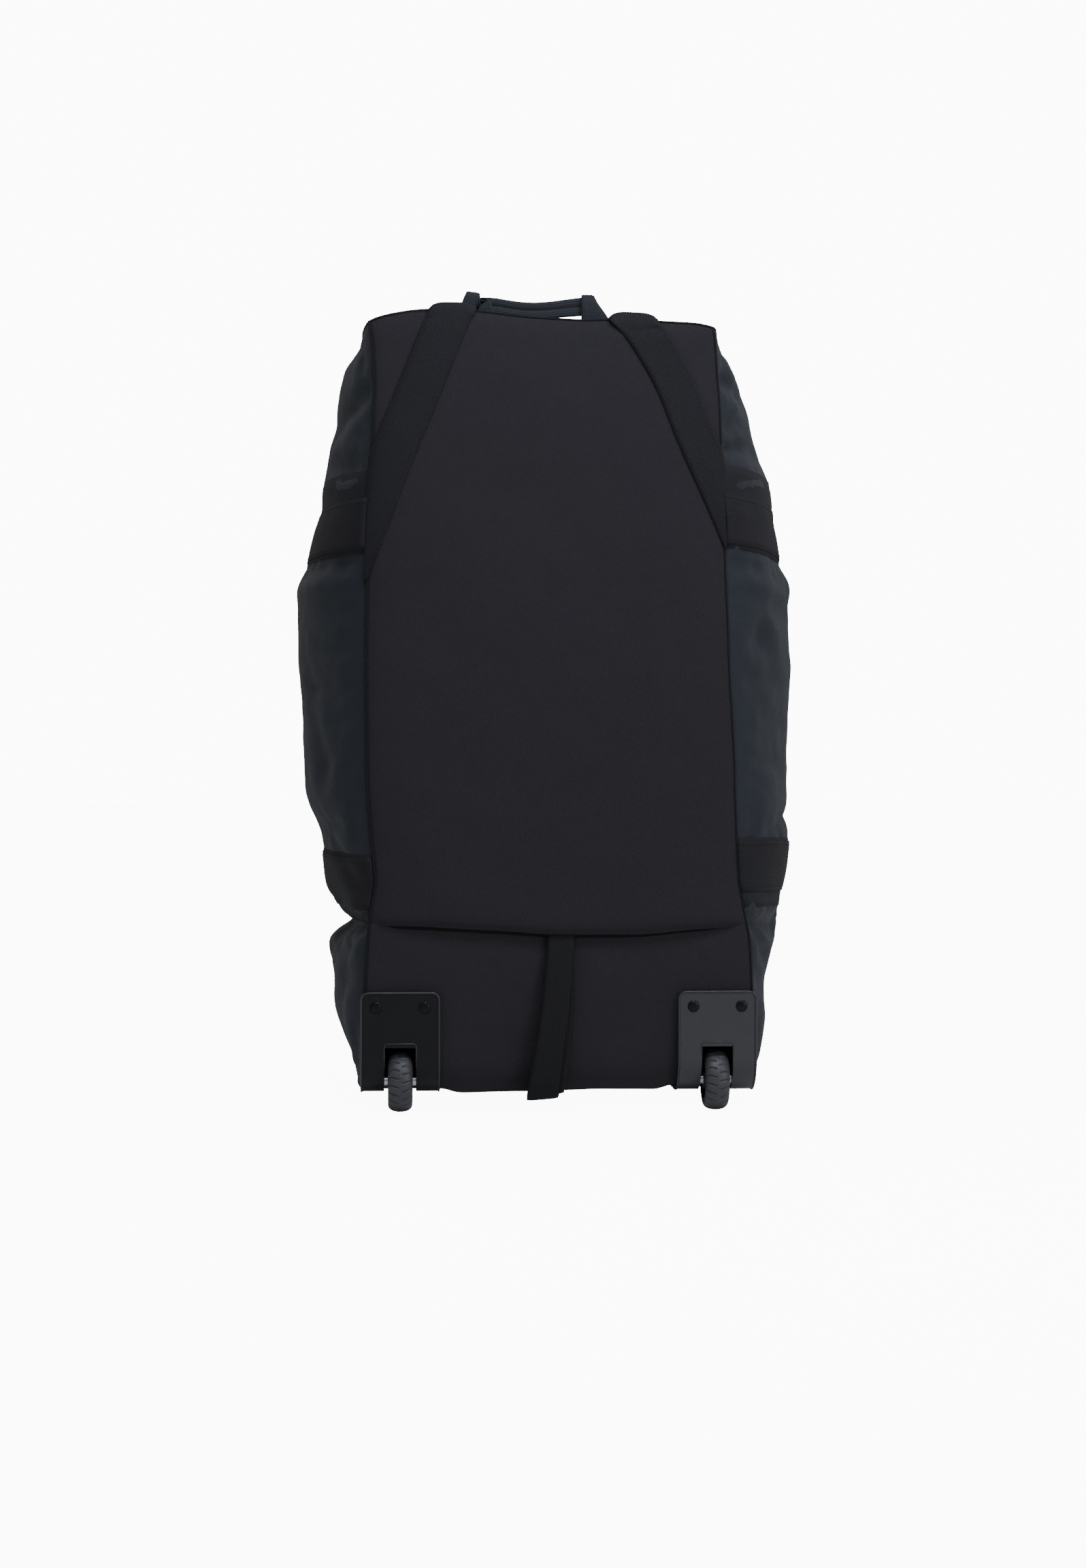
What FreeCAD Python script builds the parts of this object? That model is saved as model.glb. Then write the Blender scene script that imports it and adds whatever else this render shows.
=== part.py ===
import FreeCAD, Part
import Sketcher
import math
import os

# Rolling duffel bag, standing upright on two wheels and two feet.
# +Z is up along the bag's length, the back panel faces -Y, the zipped front faces +Y.
# The origin is on the floor under the middle of the bag. Millimetres.

doc = FreeCAD.newDocument("rolling_duffel")
sheet = doc.addObject("Spreadsheet::Sheet", "dims")

# Driving dimensions: alias, value, meaning.
DRIVING = [
    ("body_bottom", 22, "underside of the fabric body above the floor"),
    ("body_top", 765, "top end of the fabric body"),
    ("body_depth", 376, "front face to back seam line"),
    ("wall", 4, "padded fabric wall"),
    ("fold_level", 178, "fold between back panel and base boot"),
    ("belly_level", 400, "widest level"),
    ("shoulder_level", 620, "level where the sides turn in"),
    ("half_base", 190, "half width between the back seams at the base"),
    ("half_fold", 184, "the same at the fold"),
    ("half_belly", 178, "the same at the widest level"),
    ("half_shoulder", 172, "the same at the shoulder"),
    ("half_top", 170, "the same at the top"),
    ("front_half", 165, "half width between the front seams"),
    ("side_base", 16, "outward bow of the sides at the base"),
    ("side_fold", 45, "the same at the fold"),
    ("side_belly", 76, "the same at the widest level"),
    ("side_shoulder", 58, "the same at the shoulder"),
    ("side_top", 10, "the same at the top"),
    ("bow_ends", 1.5, "outward bow of the back at base and top"),
    ("bow_back", 6, "outward bow of the back between them"),
    ("top_lean", -17, "sideways lean of the top of the back"),
    ("corner_radius", 30, "rounding between back and bottom"),
    ("flap_low", 97, "lower end of the front opening"),
    ("flap_high", 688, "upper end of the front opening"),
    ("flap_edge", 163, "hinge edge of a flap from the middle"),
    ("clearance", 0.3, "gap between pieces that move apart"),
    ("band_width", 50, "wide webbing"),
    ("upper_band", 567, "middle of the upper side bands"),
    ("lower_band", 230, "middle of the lower side bands"),
    ("web", 2, "webbing thickness"),
    ("strap_width", 42, "back strap measured along the top edge"),
    ("strap_top", 89, "back strap from the middle of the top edge"),
    ("strap_spread", 82, "how far a back strap runs outward"),
    ("strap_drop", 200, "over this height"),
    ("wheel_x", 154, "wheel centre from the middle"),
    ("wheel_y", -173, "wheel centre from front to back"),
    ("wheel_radius", 30, "rolling radius"),
    ("tyre_width", 24, "tyre width"),
    ("hub_radius", 22, "seat of the tyre on the hub"),
    ("axle_radius", 3, "steel axle"),
    ("bearing_radius", 7, "outer radius of a ball bearing"),
    ("bearing_width", 5, "bearing width"),
    ("slot_half", 15.5, "half width of the wheel slot"),
    ("shell", 2.5, "moulded wall of the wheel well"),
    ("plate", 3, "moulded plate of the wheel housing"),
    ("plate_half", 38.5, "half width of the plate"),
    ("plate_top", 118, "top edge of the plate"),
    ("plate_front", -106, "front edge of the plate under the bottom"),
    ("rivet_spread", 23.5, "rivets from the middle of the plate"),
    ("rivet_level", 103, "upper rivets above the floor"),
    ("rivet_y", -117, "lower rivets from front to back"),
    ("rivet_radius", 2.4, "rivet shank"),
    ("handle_top", 800, "top of the pull handle"),
    ("handle_half", 73, "half length of the pull handle"),
    ("handle_x", -23, "middle of the pull handle"),
    ("handle_y", -150, "pull handle from front to back"),
    ("loop_root", 53, "carry handle root from the middle"),
    ("loop_reach", 102, "carry handle length from root to outer edge"),
    ("loop_width", 38, "carry handle webbing"),
    ("zip_park", 702, "slider at the closed end"),
]

_row = 0
_values = {}
for _alias, _number, _meaning in DRIVING:
    _row += 1
    sheet.set("A%d" % _row, _meaning)
    sheet.set("B%d" % _row, str(_number))
    sheet.setAlias("B%d" % _row, _alias)
    _values[_alias] = _number
doc.recompute()


class Size:
    """A number together with the spreadsheet expression that gives it."""

    def __init__(self, value, text):
        self.value = float(value)
        self.text = text

    def _with(self, other, sign, result, swap=False):
        other = size(other)
        first, second = (other, self) if swap else (self, other)
        return Size(result(first.value, second.value), "(%s %s %s)" % (first.text, sign, second.text))

    def __add__(self, other):
        return self._with(other, "+", lambda a, b: a + b)

    __radd__ = __add__

    def __sub__(self, other):
        return self._with(other, "-", lambda a, b: a - b)

    def __rsub__(self, other):
        return self._with(other, "-", lambda a, b: a - b, swap=True)

    def __mul__(self, other):
        return self._with(other, "*", lambda a, b: a * b)

    __rmul__ = __mul__

    def __truediv__(self, other):
        return self._with(other, "/", lambda a, b: a / b)

    def __neg__(self):
        return self * -1

    def root(self):
        return Size(math.sqrt(self.value), "sqrt(%s)" % self.text)


def size(number):
    """A plain number becomes a Size; a Size stays."""
    return number if isinstance(number, Size) else Size(number, "(%.6g)" % number)


def dim(alias):
    """A driving dimension, by its alias in the sheet."""
    return Size(_values[alias], "dims." + alias)


SUB_PARTS = []


def sub_part(item, label):
    """Mark a document object as a sub-part; its label names its file."""
    item.Label = label
    SUB_PARTS.append(item)
    return item


def bind(item, name, amount):
    """Tie one property of an object to its expression."""
    item.setExpression(name, size(amount).text)


def place(item, x, y, z):
    """Tie an object's position to expressions."""
    for axis, amount in zip("xyz", (x, y, z)):
        bind(item, "Placement.Base." + axis, amount)


# ---- primitives and booleans ----

def block(name, x_range, y_range, z_range):
    """A box between two values on each axis."""
    box = doc.addObject("Part::Box", name)
    lows = []
    for name_of_side, (low, high) in zip(("Length", "Width", "Height"), (x_range, y_range, z_range)):
        bind(box, name_of_side, size(high) - low)
        lows.append(low)
    place(box, *lows)
    return box


TURNS = {
    "x": FreeCAD.Rotation(FreeCAD.Vector(0, 1, 0), 90),
    "y": FreeCAD.Rotation(FreeCAD.Vector(1, 0, 0), -90),
    "z": FreeCAD.Rotation(),
}


def rod(name, axis, radius, start, length):
    """A cylinder along an axis from its start point."""
    cylinder = doc.addObject("Part::Cylinder", name)
    cylinder.Placement = FreeCAD.Placement(FreeCAD.Vector(), TURNS[axis])
    bind(cylinder, "Radius", radius)
    bind(cylinder, "Height", length)
    place(cylinder, *start)
    return cylinder


def frustum(name, axis, radius, far_radius, start, length):
    """A cone along an axis from its start point."""
    cone = doc.addObject("Part::Cone", name)
    cone.Placement = FreeCAD.Placement(FreeCAD.Vector(), TURNS[axis])
    bind(cone, "Radius1", radius)
    bind(cone, "Radius2", far_radius)
    bind(cone, "Height", length)
    place(cone, *start)
    return cone


def boolean(kind, name, first, second):
    """Cut or common of two objects."""
    item = doc.addObject("Part::" + kind, name)
    item.Base = first
    item.Tool = second
    return item


def fuse(name, items):
    """One solid from several that touch."""
    item = doc.addObject("Part::MultiFuse", name)
    item.Shapes = items
    return item


def group(name, items):
    """Separate solids kept together as one sub-part."""
    item = doc.addObject("Part::Compound", name)
    item.Links = items
    return item


# ---- sketches and bodies ----

def new_body(name):
    return doc.addObject("PartDesign::Body", name)


def new_sketch(body, name, plane, offset=0):
    """A sketch on one of the body's origin planes, moved along the plane's normal."""
    sketch = body.newObject("Sketcher::SketchObject", name)
    support = [item for item in body.Origin.OriginFeatures if item.Role == plane][0]
    sketch.AttachmentSupport = (support, [""])
    sketch.MapMode = "FlatFace"
    bind(sketch, "AttachmentOffset.Base.z", offset)
    return sketch


def fix_number(sketch, constraint, amount):
    """Add a measured constraint and tie it to its expression."""
    index = sketch.addConstraint(constraint)
    sketch.setExpression("Constraints[%d]" % index, size(amount).text)


def fix_point(sketch, edge, end, x, y):
    """Hold one sketch point at measured distances from the origin."""
    for kind, amount, axis in (("DistanceX", size(x), -2), ("DistanceY", size(y), -1)):
        if abs(amount.value) < 1e-9:
            sketch.addConstraint(Sketcher.Constraint("PointOnObject", edge, end, axis))
        else:
            measured = Sketcher.Constraint(kind, -1, 1, edge, end, amount.value)
            fix_number(sketch, measured, amount)


def fix_arc_centre(sketch, edge, first, second, bow):
    """Hold an arc's centre on the chord's normal, by the coordinate that the chord leaves free."""
    across, along = size(second[0]) - first[0], size(second[1]) - first[1]
    chord = (across * across + along * along).root()
    inward = (chord * chord / 4 - bow * bow) / (2 * bow * chord)
    if abs(across.value) > abs(along.value):
        kind, amount = "DistanceY", (size(first[1]) + second[1]) / 2 + across * inward
    else:
        kind, amount = "DistanceX", (size(first[0]) + second[0]) / 2 - along * inward
    fix_number(sketch, Sketcher.Constraint(kind, -1, 1, edge, 3, amount.value), amount)


def outline(sketch, corners, bows=None):
    """Closed outline, corners counterclockwise; bows gives the outward rise of curved edges."""
    bows = bows or {}
    count = len(corners)
    points = [FreeCAD.Vector(size(x).value, size(y).value, 0) for x, y in corners]
    starts = []
    for index in range(count):
        first, second = points[index], points[(index + 1) % count]
        start = 1
        if index in bows:
            chord = second - first
            bow = size(bows[index]).value
            top = (first + second) * 0.5 + FreeCAD.Vector(chord.y, -chord.x, 0).normalize() * bow
            ends = (first, second) if bow > 0 else (second, first)
            sketch.addGeometry(Part.Arc(ends[0], top, ends[1]), False)
            start = 1 if bow > 0 else 2
        else:
            sketch.addGeometry(Part.LineSegment(first, second), False)
        starts.append(start)
    for index in range(count):
        after = (index + 1) % count
        sketch.addConstraint(
            Sketcher.Constraint("Coincident", index, 3 - starts[index], after, starts[after]))
    for index in range(count):
        fix_point(sketch, index, starts[index], *corners[index])
    for index, bow in bows.items():
        fix_arc_centre(sketch, index, corners[index], corners[(index + 1) % count], size(bow))
    return sketch


def circles(sketch, centres, radius):
    """Equal circles at the given centres."""
    for index, (x, y) in enumerate(centres):
        middle = FreeCAD.Vector(size(x).value, size(y).value, 0)
        sketch.addGeometry(Part.Circle(middle, FreeCAD.Vector(0, 0, 1), size(radius).value), False)
        fix_point(sketch, index, 3, x, y)
        fix_number(sketch, Sketcher.Constraint("Radius", index, size(radius).value), radius)
    return sketch


def pad(body, sketch, length, middle=True):
    """Solid from a sketch, both ways from its plane unless told otherwise."""
    feature = body.newObject("PartDesign::Pad", "pad")
    feature.Profile = sketch
    feature.Midplane = middle
    bind(feature, "Length", length)
    return feature


def pocket(body, sketch, length):
    """Cut a sketch both ways from its plane; the cut has to remove something."""
    doc.recompute()
    before = body.Shape.Volume
    feature = body.newObject("PartDesign::Pocket", "pocket")
    feature.Profile = sketch
    feature.Midplane = True
    bind(feature, "Length", length)
    doc.recompute()
    if feature.Shape.Volume >= before - 1e-3:
        raise RuntimeError("a pocket of %s cuts nothing" % body.Name)
    return feature


def revolve(body, sketch, axis):
    """A full turn of a sketch about one of its own axes, H_Axis or V_Axis."""
    feature = body.newObject("PartDesign::Revolution", "turned")
    feature.Profile = sketch
    feature.ReferenceAxis = (sketch, [axis])
    feature.Angle = 360
    return feature


def fillet(body, radius, chosen):
    """Round the edges of the body's tip that the test picks."""
    doc.recompute()
    tip = body.Tip
    names = ["Edge%d" % (i + 1) for i, edge in enumerate(tip.Shape.Edges) if chosen(edge)]
    if not names:
        raise RuntimeError("no edge to round on " + body.Name)
    feature = body.newObject("PartDesign::Fillet", "rounding")
    feature.Base = (tip, names)
    bind(feature, "Radius", radius)
    return feature


def runs_along(edge, axis):
    """True for a straight edge parallel to an axis."""
    box = edge.BoundBox
    spans = {"x": box.XLength, "y": box.YLength, "z": box.ZLength}
    along = spans.pop(axis)
    return along > 0.5 and max(spans.values()) < 1e-6


QUARTER_BOW = 1 - math.sqrt(0.5)

DEPTH_HALF = dim("body_depth") / 2
BACK = -DEPTH_HALF
FRONT = DEPTH_HALF
FAR = 400


# ---- the bag's form ----

def form_section(body, name, level, half, side, bow, lean, inset):
    """One level of the bag: bowed back, bowed sides and a flat front."""
    left_back = lean - (half - inset)
    right_back = lean + (half - inset)
    corners = [
        (left_back, BACK + inset),
        (right_back, BACK + inset),
        (dim("front_half") - inset, FRONT - inset),
        (-(dim("front_half") - inset), FRONT - inset),
    ]
    sketch = new_sketch(body, name, "XY_Plane", level)
    return outline(sketch, corners, {0: bow, 1: side, 3: side})


def bag_form(name, inset):
    """The bag's whole outer form, drawn in by inset on every side."""
    body = new_body(name)
    inset = size(inset)
    span = dim("body_top") - dim("fold_level")
    levels = [
        ("base", dim("body_bottom") + inset, "bow_ends"),
        ("fold", dim("fold_level"), "bow_back"),
        ("belly", dim("belly_level"), "bow_back"),
        ("shoulder", dim("shoulder_level"), "bow_back"),
        ("top", dim("body_top") - inset, "bow_ends"),
    ]
    sections = []
    for word, level, bow in levels:
        rise = (level - dim("fold_level")) / span
        lean = size(0) if word in ("base", "fold") else dim("top_lean") * rise * rise
        sections.append(form_section(
            body, name + "_" + word, level, dim("half_" + word), dim("side_" + word),
            dim(bow), lean, inset))
    loft = body.newObject("PartDesign::AdditiveLoft", name + "_loft")
    loft.Profile = sections[0]
    loft.Sections = sections[1:]
    doc.recompute()
    radius = dim("corner_radius") - inset
    middle_y = BACK + dim("corner_radius")
    middle_z = dim("body_bottom") + dim("corner_radius")
    corner = new_sketch(body, name + "_corner", "YZ_Plane")
    outline(corner, [
        (-FAR, middle_z), (-FAR, -FAR), (middle_y, -FAR),
        (middle_y, middle_z - radius), (middle_y - radius, middle_z),
    ], {3: -(radius * QUARTER_BOW)})
    pocket(body, corner, 2 * FAR)
    return body


def shell_between(name, outer, inner):
    return boolean("Cut", name, outer, inner)


WALL = dim("wall")
INNER_BACK = BACK + WALL
INNER_FRONT = FRONT - WALL
INNER_BOTTOM = dim("body_bottom") + WALL
INNER_TOP = dim("body_top") - WALL
CORNER_Y = BACK + dim("corner_radius") + 2
CORNER_Z = dim("body_bottom") + dim("corner_radius") + 2
UPPER_STRIP_LOW = dim("flap_high") + dim("clearance")
LOWER_STRIP_HIGH = dim("flap_low") - dim("clearance")
SIDE_EDGE = dim("flap_edge") + dim("clearance")

outer_form = bag_form("outer_form", 0)
inner_form = bag_form("inner_form", WALL)
wall_shell = shell_between("wall_shell", outer_form, inner_form)


def wheel_cut(name, side):
    """Room for one wheel well and the heads of its axle."""
    reach = dim("slot_half") + dim("shell") + 3
    centre = side * dim("wheel_x")
    high = dim("wheel_radius") + WELL_RADIUS + dim("shell") + 0.3
    return block(name, (centre - reach, centre + reach),
                 (-FAR, dim("wheel_y") + WELL_RADIUS + dim("shell") + 0.3), (-FAR, high))


WELL_RADIUS = dim("wheel_radius") + 4
RIVET_HOLE = dim("rivet_radius") + 0.1


def rivet_places(side):
    """Sideways places of one housing's rivets."""
    centre = side * dim("wheel_x")
    return (centre - dim("rivet_spread"), centre + dim("rivet_spread"))


def rivet_holes(name):
    """Holes for all the rivets, through back and bottom."""
    rods = []
    for side in (-1, 1):
        for x in rivet_places(side):
            rods.append(rod(name + "_hole", "y", RIVET_HOLE, (x, -250, dim("rivet_level")), 100))
            rods.append(rod(name + "_hole", "z", RIVET_HOLE, (x, dim("rivet_y"), 0), 60))
    return rods


FOOT_X = 120
FOOT_Y = 152
SCREW_SPREAD = 22
SCREW_RADIUS = size(2)


def screw_places():
    """Where the feet are screwed on."""
    return [(side * FOOT_X + step * SCREW_SPREAD, FOOT_Y) for side in (-1, 1) for step in (-1, 1)]


def screw_holes(name):
    return [rod(name + "_hole", "z", SCREW_RADIUS + 0.1, (x, y, 0), 60) for x, y in screw_places()]


# ---- fabric panels ----

def back_panel():
    region = block("back_region", (-FAR, FAR), (-FAR, INNER_BACK), (dim("fold_level"), INNER_TOP))
    return sub_part(boolean("Common", "back", wall_shell, region), "back_panel")


def corner_region(name):
    return block(name, (-FAR, FAR), (-FAR, CORNER_Y), (0, CORNER_Z))


BOOT_FRONT = size(-96)


def base_boot():
    region = fuse("boot_region", [
        block("boot_back", (-FAR, FAR), (-FAR, INNER_BACK), (0, dim("fold_level"))),
        block("boot_under", (-FAR, FAR), (-FAR, BOOT_FRONT), (0, INNER_BOTTOM)),
        corner_region("boot_corner"),
    ])
    whole = boolean("Common", "boot_whole", wall_shell, region)
    tools = fuse("boot_tools", [wheel_cut("boot_cut", -1), wheel_cut("boot_cut", 1)]
                 + rivet_holes("boot"))
    return sub_part(boolean("Cut", "boot", whole, tools), "base_boot")


def bottom_end_panel():
    region = block("bottom_region", (-FAR, FAR), (BOOT_FRONT, FAR), (0, INNER_BOTTOM))
    whole = boolean("Common", "bottom_whole", wall_shell, region)
    holes = fuse("bottom_holes", screw_holes("bottom"))
    return sub_part(boolean("Cut", "bottom", whole, holes), "bottom_end_panel")


def top_end_panel():
    region = block("top_region", (-FAR, FAR), (-FAR, FAR), (INNER_TOP, 2 * FAR))
    return sub_part(boolean("Common", "top", wall_shell, region), "top_end_panel")


def side_panel(side, word):
    """A side wall with the narrow strip in front that a flap hinges on."""
    beside = (0, FAR) if side > 0 else (-FAR, 0)
    strip = (SIDE_EDGE, size(FAR)) if side > 0 else (size(-FAR), -SIDE_EDGE)
    region = fuse(word + "_side_region", [
        block(word + "_side_main", beside, (INNER_BACK, INNER_FRONT), (INNER_BOTTOM, INNER_TOP)),
        block(word + "_side_strip", strip, (INNER_FRONT, FAR), (LOWER_STRIP_HIGH, UPPER_STRIP_LOW)),
    ])
    trimmed = boolean("Cut", word + "_side_trim", region, corner_region(word + "_side_corner"))
    return sub_part(boolean("Common", word + "_side", wall_shell, trimmed), word + "_side_panel")


ZIP_GAP = size(8)


def front_strip(word, low, high, slot_low, slot_high):
    """The fixed front wall beyond one end of the opening, with a slot where the slider parks."""
    region = block(word + "_strip_region", (-FAR, FAR), (INNER_FRONT, FAR), (low, high))
    slot = block(word + "_strip_slot", (-ZIP_GAP, ZIP_GAP), (0, FAR), (slot_low, slot_high))
    whole = boolean("Common", word + "_strip_whole", wall_shell, region)
    return sub_part(boolean("Cut", word + "_strip", whole, slot), "front_%s_strip" % word)


ZIP_TRAVEL_END = dim("flap_low") + dim("flap_high") - dim("zip_park")
ZIP_END_REACH = size(20)


def front_strips():
    front_strip("upper", UPPER_STRIP_LOW, INNER_TOP, 0, dim("zip_park") + ZIP_END_REACH)
    front_strip("lower", INNER_BOTTOM, LOWER_STRIP_HIGH, ZIP_TRAVEL_END - ZIP_END_REACH, FAR)


# ---- boards inside ----

BOARD = size(3)
BOARD_GAP = size(0.4)
BOARD_BACK = INNER_BACK + BOARD_GAP


def back_board():
    """Flat board with round corners that stiffens the back panel."""
    body = new_body("back_board")
    half, low, high = size(146), dim("fold_level") + 6, dim("body_top") - 30
    sketch = new_sketch(body, "back_board_outline", "XZ_Plane", -(BOARD_BACK + BOARD / 2))
    outline(sketch, [(-half, low), (half, low), (half, high), (-half, high)])
    pad(body, sketch, BOARD)
    fillet(body, 20, lambda edge: runs_along(edge, "y"))
    return sub_part(body, "back_stiffener_board")


def base_board():
    """L-shaped board behind the boot and on the bottom, cut out for the wheel wells."""
    body = new_body("base_board_body")
    radius = dim("corner_radius") - WALL - BOARD_GAP
    back, under = BOARD_BACK, INNER_BOTTOM + BOARD_GAP
    high = dim("fold_level") - 6
    front = size(172)
    sketch = new_sketch(body, "base_board_profile", "YZ_Plane")
    outline(sketch, [
        (back + radius, under), (front, under), (front, under + BOARD),
        (back + radius, under + BOARD), (back + BOARD, under + radius), (back + BOARD, high),
        (back, high), (back, under + radius),
    ], {3: -((radius - BOARD) * QUARTER_BOW), 7: radius * QUARTER_BOW})
    pad(body, sketch, FAR)
    inside = bag_form("board_form", WALL + BOARD_GAP)
    whole = boolean("Common", "base_board_whole", body, inside)
    tools = fuse("base_board_tools", [wheel_cut("board_cut", -1), wheel_cut("board_cut", 1)]
                 + rivet_holes("board") + screw_holes("board"))
    return sub_part(boolean("Cut", "base_board_cut", whole, tools), "base_board")


# ---- webbing sewn on the outside ----

patch_shell = shell_between("patch_shell", bag_form("patch_out", -1.3), bag_form("patch_in", -0.3))
web_shell = shell_between("web_shell", bag_form("web_out", -(dim("web") + 1.7)), bag_form("web_in", -1.7))


def side_layer(name, layer, side, low, high, label):
    """A level strip of a layer, round one side from the back seam to the front seam."""
    beside = (0, FAR) if side > 0 else (-FAR, 0)
    region = block(name + "_region", beside, (BACK, FRONT - 1), (low, high))
    return sub_part(boolean("Common", name, layer, region), label)


def side_webbing():
    half = dim("band_width") / 2
    rows = [
        ("upper", dim("upper_band"), half + 4, half + 27),
        ("lower", dim("lower_band"), half + 15, half + 3),
    ]
    for level, middle, below, above in rows:
        for side, word in ((-1, "left"), (1, "right")):
            name = "%s_%s" % (level, word)
            side_layer("patch_" + name, patch_shell, side, middle - below, middle + above,
                       "%s_%s_patch" % (level, word))
            side_layer("band_" + name, web_shell, side, middle - half, middle + half,
                       "%s_%s_band" % (level, word))


def back_strap(side, word):
    """Webbing from the top edge down and out to the side seam, folded over on to the top."""
    start = side * dim("strap_top") + dim("top_lean") + 2
    half = dim("strap_width") / 2
    high = dim("body_top") + 10
    end = start + side * dim("strap_spread") * 1.1
    low = high - dim("strap_drop") * 1.1
    body = new_body(word + "_strap_prism")
    sketch = new_sketch(body, word + "_strap_outline", "XZ_Plane", DEPTH_HALF + 10.2)
    outline(sketch, [(end - half, low), (end + half, low), (start + half, high), (start - half, high)])
    pad(body, sketch, 20)
    fold = block(word + "_strap_fold", (start - half, start + half), (-FAR, dim("handle_y") - 8),
                 (dim("body_top") - 8, dim("body_top") + 9))
    cover = fuse(word + "_strap_cover", [body, fold])
    return sub_part(boolean("Common", word + "_strap", web_shell, cover), "back_strap_" + word)


def grab_loop():
    """Narrow webbing between the wheels, from the fold to under the bottom edge."""
    body = new_body("grab_loop_body")
    high = dim("fold_level") - 8
    root = BACK - dim("bow_back") - 0.8
    swell = BACK - 13
    under = dim("body_bottom") - 6
    end = BACK + 22
    turn = under + 24
    thick = dim("web")
    sketch = new_sketch(body, "grab_loop_profile", "YZ_Plane")
    outline(sketch, [
        (root - thick, high), (swell - thick, turn), (end, under - thick), (end, under),
        (swell, turn), (root, high),
    ], {0: 4, 1: 9, 3: -8, 4: -4})
    pad(body, sketch, 25)
    return sub_part(body, "grab_loop")


# ---- wheel housings ----

PLATE_BACK = BACK - 3.4 - dim("plate")
PLATE_UNDER = dim("body_bottom") - 0.4 - dim("plate")
PLATE_RADIUS = size(36)


def wheel_housing(side, word):
    """Corner plate and wheel well in one moulding, drawn about the wheel's middle plane."""
    body = new_body("housing_" + word)
    thick, radius = dim("plate"), PLATE_RADIUS
    back, under = PLATE_BACK, PLATE_UNDER
    profile = new_sketch(body, word + "_plate_profile", "YZ_Plane")
    outline(profile, [
        (back + radius, under), (dim("plate_front"), under), (dim("plate_front"), under + thick),
        (back + radius, under + thick), (back + thick, under + radius),
        (back + thick, dim("plate_top")), (back, dim("plate_top")), (back, under + radius),
    ], {3: -((radius - thick) * QUARTER_BOW), 7: radius * QUARTER_BOW})
    pad(body, profile, dim("plate_half") * 2)
    edge_high = dim("plate_top").value - 2
    edge_front = dim("plate_front").value
    fillet(body, 8, lambda edge: runs_along(edge, "y") and edge.CenterOfMass.z > edge_high)
    fillet(body, 8, lambda edge: runs_along(edge, "z") and abs(edge.CenterOfMass.y - edge_front) < 0.1)
    reach = WELL_RADIUS + dim("shell")
    y, z = dim("wheel_y"), dim("wheel_radius")
    inner = radius - thick
    well = new_sketch(body, word + "_well_profile", "YZ_Plane")
    outline(well, [
        (back + radius, under + thick), (y + reach, under + thick), (y + reach, z), (y, z + reach),
        (back + thick, z + reach), (back + thick, under + radius),
    ], {2: reach * QUARTER_BOW, 5: inner * QUARTER_BOW})
    pad(body, well, (dim("slot_half") + dim("shell")) * 2)
    room = new_sketch(body, word + "_room_profile", "YZ_Plane")
    outline(room, [
        (-FAR, 0), (y + WELL_RADIUS, 0), (y + WELL_RADIUS, z), (y, z + WELL_RADIUS), (-FAR, z + WELL_RADIUS),
    ], {2: WELL_RADIUS * QUARTER_BOW})
    pocket(body, room, dim("slot_half") * 2)
    axle_hole = circles(new_sketch(body, word + "_axle_hole", "YZ_Plane"), [(y, z)], dim("axle_radius") + 0.05)
    pocket(body, axle_hole, 2 * FAR)
    spread = dim("rivet_spread")
    back_holes = new_sketch(body, word + "_back_holes", "XZ_Plane", -(back + thick / 2))
    circles(back_holes, [(-spread, dim("rivet_level")), (spread, dim("rivet_level"))], RIVET_HOLE)
    pocket(body, back_holes, 12)
    under_holes = new_sketch(body, word + "_under_holes", "XY_Plane", under + thick / 2)
    circles(under_holes, [(-spread, dim("rivet_y")), (spread, dim("rivet_y"))], RIVET_HOLE)
    pocket(body, under_holes, 12)
    place(body, side * dim("wheel_x"), 0, 0)
    return sub_part(body, "wheel_housing_" + word)


RIVET_HEAD = size(5.75)
RIVET_RISE = size(2.4)
BOARD_INSIDE = BOARD_BACK + BOARD
BOARD_ABOVE = INNER_BOTTOM + BOARD_GAP + BOARD


def rivets(side, word):
    """Four dome-headed rivets, two through the back and two through the bottom."""
    made = []
    grip = size(1.8)
    for x in rivet_places(side):
        level, y = dim("rivet_level"), dim("rivet_y")
        made.append(fuse("rivet", [
            frustum("head", "y", 3.2, RIVET_HEAD, (x, PLATE_BACK - RIVET_RISE, level), RIVET_RISE),
            rod("shank", "y", dim("rivet_radius"), (x, PLATE_BACK - 1, level),
                BOARD_INSIDE - PLATE_BACK + 1 + grip),
        ]))
        made.append(fuse("rivet", [
            frustum("head", "z", 3.2, RIVET_HEAD, (x, y, PLATE_UNDER - RIVET_RISE), RIVET_RISE),
            rod("shank", "z", dim("rivet_radius"), (x, y, PLATE_UNDER - 1),
                BOARD_ABOVE - PLATE_UNDER + 1 + grip),
        ]))
    return sub_part(group("rivets_" + word, made), "rivets_" + word)


def rivet_washers(side, word):
    """Washers under the set ends of the rivets, against the board."""
    made = []
    thick = size(1)
    for x in rivet_places(side):
        ring = rod("ring", "y", 4.4, (x, BOARD_INSIDE, dim("rivet_level")), thick)
        bore = rod("bore", "y", RIVET_HOLE, (x, BOARD_INSIDE - 5, dim("rivet_level")), 20)
        made.append(boolean("Cut", "washer", ring, bore))
        ring = rod("ring", "z", 4.4, (x, dim("rivet_y"), BOARD_ABOVE), thick)
        bore = rod("bore", "z", RIVET_HOLE, (x, dim("rivet_y"), BOARD_ABOVE - 5), 20)
        made.append(boolean("Cut", "washer", ring, bore))
    return sub_part(group("washers_" + word, made), "rivet_washers_" + word)


# ---- wheels ----

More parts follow.
